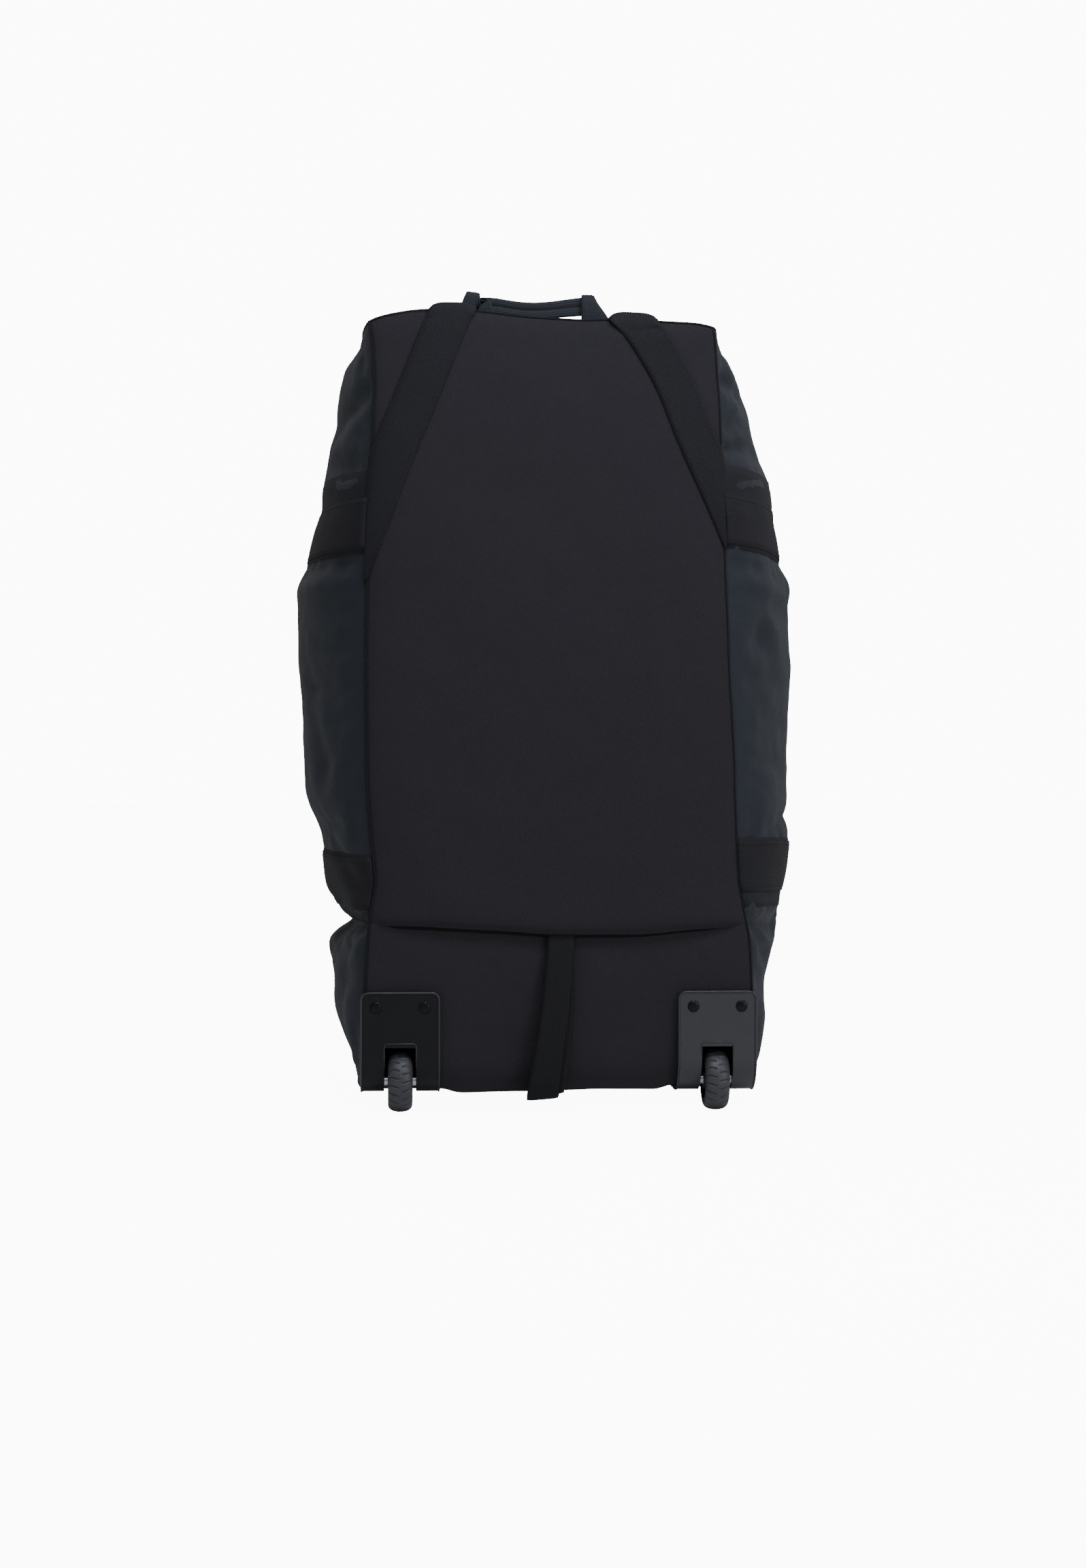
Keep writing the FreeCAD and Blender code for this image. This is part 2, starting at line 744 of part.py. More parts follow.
def axle(side, word):
    """Steel axle through the well's cheeks, with a flat head at each end."""
    body = new_body("axle_body_" + word)
    reach = dim("slot_half") + dim("shell") + 0.1
    head, radius = size(2.2), size(3.8)
    shaft = dim("axle_radius")
    sketch = new_sketch(body, word + "_axle_profile", "XZ_Plane")
    outline(sketch, [
        (-(reach + head), 0), (reach + head, 0), (reach + head, radius), (reach, radius),
        (reach, shaft), (-reach, shaft), (-reach, radius), (-(reach + head), radius),
    ])
    revolve(body, sketch, "H_Axis")
    place(body, side * dim("wheel_x"), dim("wheel_y"), dim("wheel_radius"))
    return sub_part(body, "axle_" + word)


def ring_profile(body, name, start, end, bore, outside):
    """A plain ring about the X axis."""
    sketch = new_sketch(body, name, "XZ_Plane")
    outline(sketch, [(start, bore), (end, bore), (end, outside), (start, outside)])
    revolve(body, sketch, "H_Axis")


AXLE_BORE = dim("axle_radius") + 0.05


def ring_pair(kind, side, word, start, end, bore, outside, label):
    """Two equal rings, one each side of the wheel's middle."""
    pair = []
    for hand, mirror in (("outer", 1), ("inner", -1)):
        body = new_body("%s_%s_%s" % (kind, word, hand))
        low, high = (start, end) if mirror > 0 else (-end, -start)
        ring_profile(body, "%s_%s_%s_profile" % (kind, word, hand), low, high, bore, outside)
        place(body, side * dim("wheel_x"), dim("wheel_y"), dim("wheel_radius"))
        pair.append(body)
    return sub_part(group(kind + "s_" + word, pair), label)


def tyre(side, word):
    """Rubber tyre with a crowned tread."""
    body = new_body("tyre_" + word)
    half, outer, seat = dim("tyre_width") / 2, dim("wheel_radius"), dim("hub_radius")
    sketch = new_sketch(body, word + "_tyre_profile", "XZ_Plane")
    shoulder = outer - 2.5
    outline(sketch, [
        (-half, seat), (half, seat), (half, shoulder), (half - 4, outer - 0.4), (-(half - 4), outer - 0.4),
        (-half, shoulder),
    ], {3: 0.4})
    revolve(body, sketch, "H_Axis")
    place(body, side * dim("wheel_x"), dim("wheel_y"), dim("wheel_radius"))
    return sub_part(body, "tyre_" + word)


def hub(side, word):
    """Moulded hub: rim, web and boss with a seat for a bearing in each end."""
    body = new_body("hub_" + word)
    rim_half, web_half = dim("tyre_width") / 2 - 0.5, size(2)
    rim_in = dim("hub_radius") - 2.5
    boss = dim("bearing_radius") + 2.5
    seat_in = dim("tyre_width") / 2 - dim("bearing_width")
    end = dim("tyre_width") / 2
    bore = dim("axle_radius") + 1.2
    right = [
        (end, dim("bearing_radius")), (end, boss), (web_half, boss), (web_half, rim_in),
        (rim_half, rim_in), (rim_half, dim("hub_radius")),
    ]
    left = [(-x, y) for x, y in reversed(right)]
    inside = [
        (-seat_in, dim("bearing_radius")), (-seat_in, bore), (seat_in, bore),
        (seat_in, dim("bearing_radius")),
    ]
    sketch = new_sketch(body, word + "_hub_profile", "XZ_Plane")
    outline(sketch, right + left + inside)
    revolve(body, sketch, "H_Axis")
    place(body, side * dim("wheel_x"), dim("wheel_y"), dim("wheel_radius"))
    return sub_part(body, "hub_" + word)


def wheel(side, word):
    half = dim("tyre_width") / 2
    tyre(side, word)
    hub(side, word)
    ring_pair("bearing", side, word, half - dim("bearing_width"), half, AXLE_BORE,
              dim("bearing_radius"), "bearings_" + word)
    axle(side, word)
    ring_pair("spacer", side, word, half + 0.15, dim("slot_half") - 0.05, AXLE_BORE, size(5),
              "axle_spacers_" + word)


# ---- feet ----

def stand_foot(side, word):
    """Moulded foot that levels the bag with its wheels."""
    body = new_body("foot_" + word)
    high = dim("body_bottom") - 0.3
    sketch = new_sketch(body, word + "_foot_profile", "XZ_Plane", -FOOT_Y)
    outline(sketch, [(-30, 0), (30, 0), (36, high), (-36, high)])
    pad(body, sketch, 34)
    fillet(body, 5, lambda edge: abs(edge.CenterOfMass.x) > 29 and edge.BoundBox.ZLength > 5)
    fillet(body, 2, lambda edge: edge.BoundBox.ZMax < 0.1)
    holes = new_sketch(body, word + "_foot_holes", "XY_Plane")
    circles(holes, [(-SCREW_SPREAD, FOOT_Y), (SCREW_SPREAD, FOOT_Y)], SCREW_RADIUS + 0.1)
    pocket(body, holes, 2 * FAR)
    sinks = new_sketch(body, word + "_foot_sinks", "XY_Plane")
    circles(sinks, [(-SCREW_SPREAD, FOOT_Y), (SCREW_SPREAD, FOOT_Y)], 4.2)
    pocket(body, sinks, 24)
    place(body, side * FOOT_X, 0, 0)
    return sub_part(body, "stand_foot_" + word)


def foot_screws():
    """Four screws up through the feet into the base board."""
    made = []
    for x, y in screw_places():
        made.append(fuse("screw", [
            rod("screw_head", "z", 4, (x, y, 9.5), 2.4),
            rod("screw_shank", "z", SCREW_RADIUS, (x, y, 11), BOARD_ABOVE + 2 - 11),
        ]))
    return sub_part(group("screws", made), "stand_foot_screws")


# ---- front flaps, zipper and carry handles ----

TAPE_BACK = INNER_FRONT - 1.4
CHAIN_HALF = size(3)
CHAIN_GAP = size(0.6)


def sided(side, low, high):
    """A sideways range on the left or the right, given by distance from the middle."""
    return (size(low), size(high)) if side > 0 else (-size(high), -size(low))


def front_flap(side, word):
    low, high = dim("flap_low"), dim("flap_high")
    body = new_body("flap_" + word)
    inner, outer = (ZIP_GAP, dim("flap_edge")) if side > 0 else (-dim("flap_edge"), -ZIP_GAP)
    sketch = new_sketch(body, word + "_flap_outline", "XZ_Plane", -(FRONT - WALL / 2))
    outline(sketch, [(inner, low), (outer, low), (outer, high), (inner, high)])
    pad(body, sketch, WALL)
    return sub_part(body, "front_flap_" + word)


def zip_half(name, side, low, high):
    """Tape and coil of one side of the zipper."""
    tape = block(name + "_tape", sided(side, CHAIN_HALF - 0.5, 18), (TAPE_BACK, TAPE_BACK + 1), (low, high))
    coil = block(name + "_coil", sided(side, CHAIN_GAP, CHAIN_HALF), (TAPE_BACK - 0.8, TAPE_BACK + 1.8),
                 (low, high))
    return fuse(name, [tape, coil])


def zip_end(word, low, high, stop_low, stop_high):
    """Fixed end of the zipper: both halves, closed off by a stop."""
    halves = [zip_half("zip_%s_%s" % (word, hand), side, low, high) for side, hand in ((-1, "l"), (1, "r"))]
    stop = block("zip_stop_" + word, (-CHAIN_HALF - 1, CHAIN_HALF + 1), (TAPE_BACK - 1.4, TAPE_BACK + 2.4),
                 (stop_low, stop_high))
    return sub_part(fuse("zip_end_" + word, halves + [stop]), "zip_%s_end" % word)


STOP_NEAR = size(8)
STOP_FAR = size(10.5)
SLIDER_HALF = size(6)
SLIDER_REACH = size(7)
PLATE_IN = TAPE_BACK - 2
PLATE_OUT = TAPE_BACK + 3


def zip_slider():
    """Two plates joined by a post that runs between the coils, flanges over the tapes, and a bail."""
    z = dim("zip_park")
    low, high = z - SLIDER_REACH, z + SLIDER_REACH
    lip = size(1.3)
    pieces = [
        block("slider_in", (-SLIDER_HALF, SLIDER_HALF), (PLATE_IN - 1.2, PLATE_IN), (low, high)),
        block("slider_out", (-SLIDER_HALF, SLIDER_HALF), (PLATE_OUT, PLATE_OUT + 1.4), (low, high)),
        block("slider_post", (-0.4, 0.4), (PLATE_IN - 1, PLATE_OUT + 1), (high - 3, high)),
        block("bail_low", (-1.2, 1.2), (PLATE_OUT + 1, PLATE_OUT + 5.9), (low + 1, low + 2.4)),
        block("bail_high", (-1.2, 1.2), (PLATE_OUT + 1, PLATE_OUT + 5.9), (high - 2.4, high - 1)),
        block("bail_bar", (-1.2, 1.2), (PLATE_OUT + 4.7, PLATE_OUT + 5.9), (low + 1, high - 1)),
    ]
    for side, hand in ((-1, "l"), (1, "r")):
        edge = sided(side, SLIDER_HALF - lip, SLIDER_HALF)
        pieces.append(block("lip_in_" + hand, edge, (PLATE_IN - 1, TAPE_BACK - 0.5), (low, high)))
        pieces.append(block("lip_out_" + hand, edge, (TAPE_BACK + 1.5, PLATE_OUT + 1), (low, high)))
    return sub_part(fuse("slider", pieces), "zip_slider")


PULL_Y = PLATE_OUT + 3.5


def zip_pull():
    """Flat pull tab that hangs from the slider's bail."""
    body = new_body("pull_tab")
    z = dim("zip_park")
    half, drop, rise = size(4), size(36), size(4.4)
    sketch = new_sketch(body, "pull_tab_outline", "XZ_Plane", -PULL_Y)
    outline(sketch, [(-half, z - drop), (half, z - drop), (half, z + rise), (-half, z + rise)],
            {0: 3.5})
    pad(body, sketch, 1.4)
    window = new_sketch(body, "pull_tab_window", "XZ_Plane", -PULL_Y)
    outline(window, [(-2, z - 6.4), (2, z - 6.4), (2, z + 2.6), (-2, z + 2.6)])
    pocket(body, window, 10)
    hole = new_sketch(body, "pull_tab_hole", "XZ_Plane", -PULL_Y)
    circles(hole, [(0, z - 31)], 2)
    pocket(body, hole, 10)
    return sub_part(body, "zip_pull_tab")


def flap_band(side, word, level, middle):
    """Webbing that goes on from a side band towards the zipper, short of the hinge line."""
    half = dim("band_width") / 2
    band = block("flap_band_%s_%s" % (level, word), sided(side, dim("loop_root") - 1, dim("flap_edge") - 1.6),
                 (FRONT + 0.3, FRONT + 0.3 + dim("web")), (middle - half, middle + half))
    return sub_part(band, "flap_band_%s_%s" % (level, word))


TAB_IN = size(10)
TAB_OUT = size(150)
TAB_OVER = size(18)
TAB_SEWN = size(12)


def flap_end_tabs(side, word):
    """Hook-and-loop closures sewn on a flap's two ends, lying over the fixed strips beyond them."""
    depth = (FRONT + 0.3, FRONT + 1.8)
    low, high = dim("flap_low"), dim("flap_high")
    tabs = [
        block("tab_low_" + word, sided(side, TAB_IN, TAB_OUT), depth, (low - TAB_OVER, low + TAB_SEWN)),
        block("tab_high_" + word, sided(side, TAB_IN, TAB_OUT), depth, (high - TAB_SEWN, high + TAB_OVER)),
    ]
    return sub_part(group("flap_tabs_" + word, tabs), "flap_end_tabs_" + word)


LOOP_BACK = FRONT + 4.2
LOOP_THICK = size(3)


def carry_handle(side, word):
    """Flat loop of webbing between the two bands of a flap, lying outward on the flap."""
    body = new_body("carry_" + word)
    root, reach, wide = dim("loop_root"), dim("loop_reach"), dim("loop_width")
    low, high = dim("lower_band") - wide / 2, dim("upper_band") + wide / 2
    near, far = (root, root + reach) if side > 0 else (-root, -(root + reach))
    inner = far - side * wide
    middle_y = LOOP_BACK + LOOP_THICK / 2
    sketch = new_sketch(body, word + "_carry_outline", "XZ_Plane", -middle_y)
    path = [
        (near, low), (far, low), (far, high), (near, high),
        (near, high - wide), (inner, high - wide), (inner, low + wide), (near, low + wide),
    ]
    if side < 0:
        path = path[::-1]
    outline(sketch, path)
    pad(body, sketch, LOOP_THICK)
    edge_far, edge_inner = far.value, inner.value
    fillet(body, 55, lambda edge: runs_along(edge, "y") and abs(edge.CenterOfMass.x - edge_far) < 0.1)
    fillet(body, 18, lambda edge: runs_along(edge, "y") and abs(edge.CenterOfMass.x - edge_inner) < 0.1)
    return sub_part(body, "carry_handle_" + word)


def grip_wrap():
    """Padded wrap round the middle of the right carry handle."""
    body = new_body("wrap")
    far = dim("loop_root") + dim("loop_reach")
    near = far - dim("loop_width")
    middle = (dim("lower_band") + dim("upper_band")) / 2
    layer = size(2.6)
    y_low, y_high = LOOP_BACK, LOOP_BACK + LOOP_THICK
    sketch = new_sketch(body, "wrap_outline", "XY_Plane", middle)
    outline(sketch, [
        (near - layer, y_low - layer), (far + layer, y_low - layer), (far + layer, y_high + layer),
        (near - layer, y_high + layer),
    ])
    pad(body, sketch, 130)
    fillet(body, 2.5, lambda edge: runs_along(edge, "z"))
    room = new_sketch(body, "wrap_room", "XY_Plane", middle)
    outline(room, [(near, y_low), (far, y_low), (far, y_high), (near, y_high)])
    pocket(body, room, 2 * FAR)
    return sub_part(body, "grip_wrap")


# ---- pull handle on the top end ----

def pull_handle():
    """Webbing folded into a bar, with both ends turned down to the top end."""
    body = new_body("pull_handle_body")
    half, high = dim("handle_half"), dim("handle_top")
    foot = dim("body_top") + 4
    bar_low = high - 19
    leg = size(22)
    sketch = new_sketch(body, "pull_handle_outline", "XZ_Plane")
    outline(sketch, [
        (-half, foot), (-(half - leg), foot), (-(half - leg), bar_low), (half - leg, bar_low),
        (half - leg, foot), (half, foot), (half, high), (-half, high),
    ])
    pad(body, sketch, 8)
    top = high.value
    fillet(body, 9, lambda edge: runs_along(edge, "y") and abs(edge.CenterOfMass.z - top) < 0.1)
    low = foot.value
    fillet(body, 3.6, lambda edge: runs_along(edge, "x") and abs(edge.CenterOfMass.z - low) < 0.1)
    place(body, dim("handle_x"), dim("handle_y"), 0)
    return sub_part(body, "pull_handle")


def build():
    back_panel()
    base_boot()
    bottom_end_panel()
    top_end_panel()
    front_strips()
    back_board()
    base_board()
    side_webbing()
    grab_loop()
    foot_screws()
    zip_end("upper", UPPER_STRIP_LOW, dim("zip_park") + ZIP_END_REACH,
            dim("zip_park") + STOP_NEAR, dim("zip_park") + STOP_FAR)
    zip_end("lower", ZIP_TRAVEL_END - ZIP_END_REACH, LOWER_STRIP_HIGH,
            ZIP_TRAVEL_END - STOP_FAR, ZIP_TRAVEL_END - STOP_NEAR)
    zip_slider()
    zip_pull()
    grip_wrap()
    pull_handle()
    for side, word in ((-1, "left"), (1, "right")):
        side_panel(side, word)
        back_strap(side, word)
        wheel_housing(side, word)
        rivets(side, word)
        rivet_washers(side, word)
        wheel(side, word)
        stand_foot(side, word)
        front_flap(side, word)
        tape = zip_half("zip_" + word, side, dim("flap_low"), dim("flap_high"))
        sub_part(tape, "zip_tape_" + word)
        flap_band(side, word, "upper", dim("upper_band"))
        flap_band(side, word, "lower", dim("lower_band"))
        flap_end_tabs(side, word)
        carry_handle(side, word)


def check():
    """Every object is up to date and every sub-part has a valid solid shape."""
    for item in doc.Objects:
        if "Invalid" in item.State or "Error" in item.State:
            raise RuntimeError("%s (%s) is %s" % (item.Name, item.Label, item.State))
    for item in SUB_PARTS:
        shape = item.Shape
        if shape.isNull() or not shape.isValid() or not shape.Solids:
            raise RuntimeError("%s has no valid shape" % item.Label)


def export():
    os.makedirs("parts", exist_ok=True)
    for item in SUB_PARTS:
        item.Shape.exportStep(os.path.join("parts", item.Label + ".step"))
        box = item.Shape.BoundBox
        print("%-24s solids %d  x %.1f..%.1f  y %.1f..%.1f  z %.1f..%.1f" % (
            item.Label, len(item.Shape.Solids), box.XMin, box.XMax, box.YMin, box.YMax, box.ZMin, box.ZMax))


build()
doc.recompute()
check()
export()
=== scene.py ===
"""Looks of the rolling duffel bag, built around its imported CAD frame. Lengths in the tables are in mm."""
import math

import bpy
import bmesh
import numpy as np
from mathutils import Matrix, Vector, noise
from mathutils.bvhtree import BVHTree


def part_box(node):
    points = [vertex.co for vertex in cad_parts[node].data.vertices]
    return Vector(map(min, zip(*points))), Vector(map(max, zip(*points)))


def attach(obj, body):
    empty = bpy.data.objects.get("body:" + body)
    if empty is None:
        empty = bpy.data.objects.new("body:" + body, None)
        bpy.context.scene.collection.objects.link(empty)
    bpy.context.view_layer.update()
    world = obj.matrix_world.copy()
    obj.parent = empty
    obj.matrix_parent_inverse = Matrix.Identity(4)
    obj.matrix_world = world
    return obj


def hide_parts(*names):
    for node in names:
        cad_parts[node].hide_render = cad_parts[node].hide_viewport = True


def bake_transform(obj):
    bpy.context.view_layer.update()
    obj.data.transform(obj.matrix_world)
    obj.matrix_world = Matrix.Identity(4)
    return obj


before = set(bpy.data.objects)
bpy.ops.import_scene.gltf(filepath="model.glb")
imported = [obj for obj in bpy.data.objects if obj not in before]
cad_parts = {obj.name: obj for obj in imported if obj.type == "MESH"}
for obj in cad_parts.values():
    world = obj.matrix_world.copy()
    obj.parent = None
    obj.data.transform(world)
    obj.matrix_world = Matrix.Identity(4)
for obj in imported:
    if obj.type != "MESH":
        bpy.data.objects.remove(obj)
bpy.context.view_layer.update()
MM = 0.001

# ---- the bag's outline ----
HALF_DEPTH = 188.0
FRONT_HALF = 165.0
BOTTOM = 22.0
TOP = 765.0
FOLD = 178.0
BOOT_EDGE = -96.0
CORNER = 30.0
FLAP_LOW, FLAP_HIGH = 97.0, 688.0
SLOT_LOW, SLOT_HIGH = 63.0, 722.0
ZIP_GAP = 8.0
UPPER_BAND = (542.0, 592.0)
LOWER_BAND = (205.0, 255.0)
STEP = 8.6
EDGE_BACK, EDGE_FRONT = 3.0, 17.0

# Back seams: height, sideways place.
LEFT_SEAM = [(22, -190), (110, -190), (165, -187), (190, -184), (225, -178), (262, -183), (330, -187),
             (470, -188), (560, -186.5), (620, -183), (700, -180), (745, -182), (765, -186)]
RIGHT_SEAM = [(22, 190), (110, 190), (165, 187), (190, 182), (225, 176), (290, 173.5), (355, 172), (420, 167),
              (520, 163.5), (600, 160), (700, 157.5), (745, 154), (765, 152)]
# Widest place of each side at a height.
LEFT_SIDE = [(22, -194), (60, -194), (86, -206), (100, -211), (125, -207), (139, -212), (152, -220), (165, -212),
             (180, -195), (190, -206), (205, -219), (225, -228), (257, -232), (284, -233), (310, -240), (363, -243),
             (416, -245), (460, -249), (521, -251), (548, -246), (574, -240), (600, -228), (627, -221), (653, -215),
             (680, -208), (706, -207), (733, -203), (765, -190)]
RIGHT_SIDE = [(22, 196), (60, 198), (99, 201), (125, 202), (139, 208), (152, 215), (165, 222), (180, 229),
              (205, 238), (231, 244.5), (257, 247), (284, 240), (310, 238), (363, 238), (416, 241.5), (442, 243),
              (495, 239), (521, 243.5), (548, 239), (574, 235), (600, 229), (627, 220), (653, 207), (680, 199),
              (706, 190), (733, 183), (765, 170)]
# How far the top stands above its level along the back edge: sideways place, rise.
TOP_RISE = [(-190, 0), (-176, 7), (-147, 13), (-127, 15), (-81, 14), (-30, 8.2), (22, 5.6), (50, 7), (96, 5.5),
            (140, 3.5), (150, 0), (190, -4)]
# How far the fold over the boot hangs above its level: sideways place, rise.
FOLD_DROP = [(-190, 7), (-166, 5), (-121, 4), (-76, 1.2), (-45, -0.8), (-18, -3), (51, -4.1), (76, -3.3), (121, 1),
             (166, 3), (190, 5)]
# How far the back bows outward at a height.
BACK_BOW = [(22, 0.5), (120, 1), (160, 0.5), (169, -1), (178, -2), (180, 0), (182, 8), (186, 11), (197, 10.5),
            (230, 8), (320, 6), (560, 6), (700, 5), (750, 3), (765, 0)]


def curve(at, table, blur=7.0):
    """A table read at the given places, with its corners smoothed."""
    keys, values = np.array(table, float).T
    spread = np.linspace(-blur, blur, 7)
    return sum(np.interp(at + d, keys, values) for d in spread) / len(spread)


def smooth(t):
    t = np.clip(t, 0, 1)
    return t * t * (3 - 2 * t)


def lines(breaks, step):
    """Grid lines through every break, no further apart than the step."""
    made = [breaks[0]]
    for low, high in zip(breaks, breaks[1:]):
        count = max(1, math.ceil((high - low) / step - 0.01))
        made += [low + (high - low) * (i + 1) / count for i in range(count)]
    return np.array(made)


U_LINES = lines([-1, -ZIP_GAP / FRONT_HALF, ZIP_GAP / FRONT_HALF, 1], STEP / 175)
Y_LINES = lines([-HALF_DEPTH, BOOT_EDGE, HALF_DEPTH], STEP)
Z_LINES = lines([BOTTOM, SLOT_LOW, FLAP_LOW, 163, 169, 174, FOLD, 181, 185, 190, LOWER_BAND[0], LOWER_BAND[1],
                 UPPER_BAND[0], UPPER_BAND[1], FLAP_HIGH, SLOT_HIGH, TOP], STEP)


def form(u, y, z):
    """The bag's shape at a place on its grid: u from -1 to 1 across, y and z in mm."""
    v = (y + HALF_DEPTH) / (2 * HALF_DEPTH)
    left, right = curve(z, LEFT_SEAM), curve(z, RIGHT_SEAM)
    x = (left + (right - left) * (u + 1) / 2) * (1 - v) + FRONT_HALF * u * v
    side = np.where(u < 0, curve(z, LEFT_SIDE) - (left - FRONT_HALF) / 2, curve(z, RIGHT_SIDE) - (right + FRONT_HALF) / 2)
    x = x + side * np.abs(u) ** 4 * (4 * v * (1 - v)) ** 0.8
    # the rounded corner between back and bottom
    dy, dz = np.minimum(y + HALF_DEPTH - CORNER, 0), np.minimum(z - BOTTOM - CORNER, 0)
    reach = np.maximum(np.abs(dy), np.abs(dz))
    length = np.maximum(np.hypot(dy, dz), 1e-6)
    corner = (dy < 0) & (dz < 0)
    # every other edge is a softer turn, tighter at the back seams
    turn = EDGE_BACK + (EDGE_FRONT - EDGE_BACK) * smooth((v - 0.1) / 0.7)
    gaps = np.stack([(1 - np.abs(u)) * FRONT_HALF, HALF_DEPTH - np.abs(y), np.minimum(z - BOTTOM, TOP - z)])
    over = np.maximum(turn - gaps, 0)
    size = np.maximum(np.sqrt((over ** 2).sum(0)), 1e-6)
    pull = over - over * over.max(0) / size
    pull[1:] *= ~corner
    x = x - np.sign(u) * pull[0]
    y_turned = y - np.sign(y) * pull[1]
    z_turned = z - np.sign(z - 400) * pull[2]
    y = np.where(corner, CORNER - HALF_DEPTH + dy / length * reach, y_turned)
    new_z = np.where(corner, BOTTOM + CORNER + dz / length * reach, z_turned)
    # the back's bow, and its lower edge that hangs over the base
    near_back = (1 - v) ** 6
    y = y - curve(z, BACK_BOW, 1.2) * (1 - u ** 6) * near_back
    hang = np.exp(-((z - FOLD) / 32) ** 2) * curve(x, FOLD_DROP, 12)
    lip = 6 * np.exp(-((z - 183) / 5) ** 2) * (1 - u ** 8)
    new_z = new_z + (hang - lip) * near_back
    new_z = new_z + curve(x, TOP_RISE, 8) * smooth((z - 680) / 85) * (1 - v) ** 22
    # the boot sags between the wheel housings
    new_z = new_z - 4.5 * smooth((112 - np.abs(x)) / 14) * smooth((70 - z) / 45) * smooth((BOOT_EDGE - y) / 30)
    # the front sinks between its seams, bands and zipper
    front = v ** 8 * (1 - u ** 8)
    y = y - 2.5 * front * (1 + np.sin(z / 47.0) * np.cos(x / 39.0 + z / 90.0))
    return np.stack([x, y, new_z], -1)


PANELS = ["back", "boot", "bottom", "top", "left", "right", "strip_low", "strip_high", "flap_left", "flap_right",
          "gap"]


def panel_at(side, u, y, z):
    """The panel that a grid cell belongs to."""
    if side == "back":
        return "boot" if z < FOLD else "back"
    if side == "bottom":
        return "boot" if y < BOOT_EDGE else "bottom"
    if side != "front":
        return side
    if abs(u) * FRONT_HALF < ZIP_GAP and SLOT_LOW < z < SLOT_HIGH:
        return "gap"
    if z < FLAP_LOW:
        return "strip_low"
    if z > FLAP_HIGH:
        return "strip_high"
    return "flap_left" if u < 0 else "flap_right"


def skin_mesh():
    """The whole bag as one closed grid of quads, its panels as material numbers and cloth places as UVs in metres."""
    spots, corners = {}, []

    def spot(i, j, k):
        if (i, j, k) not in spots:
            spots[(i, j, k)] = len(corners)
            corners.append((U_LINES[i], Y_LINES[j], Z_LINES[k]))
        return spots[(i, j, k)]

    nu, ny, nz = len(U_LINES) - 1, len(Y_LINES) - 1, len(Z_LINES) - 1
    sides = [
        ("back", nu, nz, lambda a, b: (a, 0, b)), ("front", nu, nz, lambda a, b: (a, ny, b)),
        ("left", ny, nz, lambda a, b: (0, a, b)), ("right", ny, nz, lambda a, b: (nu, a, b)),
        ("bottom", nu, ny, lambda a, b: (a, b, 0)), ("top", nu, ny, lambda a, b: (a, b, nz)),
    ]
    faces, tags, cloth = [], [], []
    for side, na, nb, place in sides:
        for a in range(na):
            for b in range(nb):
                quad = [spot(*place(a + da, b + db)) for da, db in ((0, 0), (1, 0), (1, 1), (0, 1))]
                middle = np.mean([corners[i] for i in quad], 0)
                faces.append(quad)
                tags.append(PANELS.index(panel_at(side, *middle)))
                for i in quad:
                    u, y, z = corners[i]
                    flat = {"left": (y, z), "right": (y, z)}.get(side, (u * 175, z))
                    cloth.append((u * 175, y) if side in ("bottom", "top") else flat)
    grid = np.array(corners)
    mesh = bpy.data.meshes.new("skin")
    mesh.from_pydata((form(*grid.T) * MM).tolist(), [], faces)
    mesh.polygons.foreach_set("material_index", tags)
    uv = mesh.uv_layers.new(name="cloth")
    uv.data.foreach_set("uv", (np.array(cloth) * MM).ravel())
    for name in PANELS:
        mesh.materials.append(bpy.data.materials.new("panel_" + name))
    body = bmesh.new()
    body.from_mesh(mesh)
    bmesh.ops.recalc_face_normals(body, faces=body.faces)
    crease = body.edges.layers.float.new("crease_edge")
    for edge in body.edges:
        kinds = {PANELS[f.material_index] for f in edge.link_faces}
        if len(kinds) > 1:
            edge[crease] = 0.5
    body.to_mesh(mesh)
    body.free()
    return mesh, grid, spots


def side_freedom(grid):
    """How freely each point may move: 1 in the middle of the side cloth, 0 on seams and the stiff panels."""
    u, y, z = grid.T
    from_seam = np.minimum(HALF_DEPTH - np.abs(y), np.minimum(z - BOTTOM, TOP - z))
    free = smooth(from_seam / 28) * (np.abs(u) > 0.999)
    for low, high in (UPPER_BAND, LOWER_BAND):
        middle, half = (low + high) / 2, (high - low) / 2
        free *= 1 - 0.75 * smooth((half + 14 - np.abs(z - middle)) / 14)
    fold = np.exp(-((z - 180) / 11) ** 2) * smooth((-30 - y) / 70)
    free *= 1 - 0.95 * fold
    top = (z > TOP - 0.1) * smooth(from_top(u, y) / 60) * 0.4
    return np.maximum(free, top)


def from_top(u, y):
    """Distance of a place on the top from its nearest edge."""
    return np.minimum((1 - np.abs(u)) * 175, HALF_DEPTH - np.abs(y))


CAP = 11.0


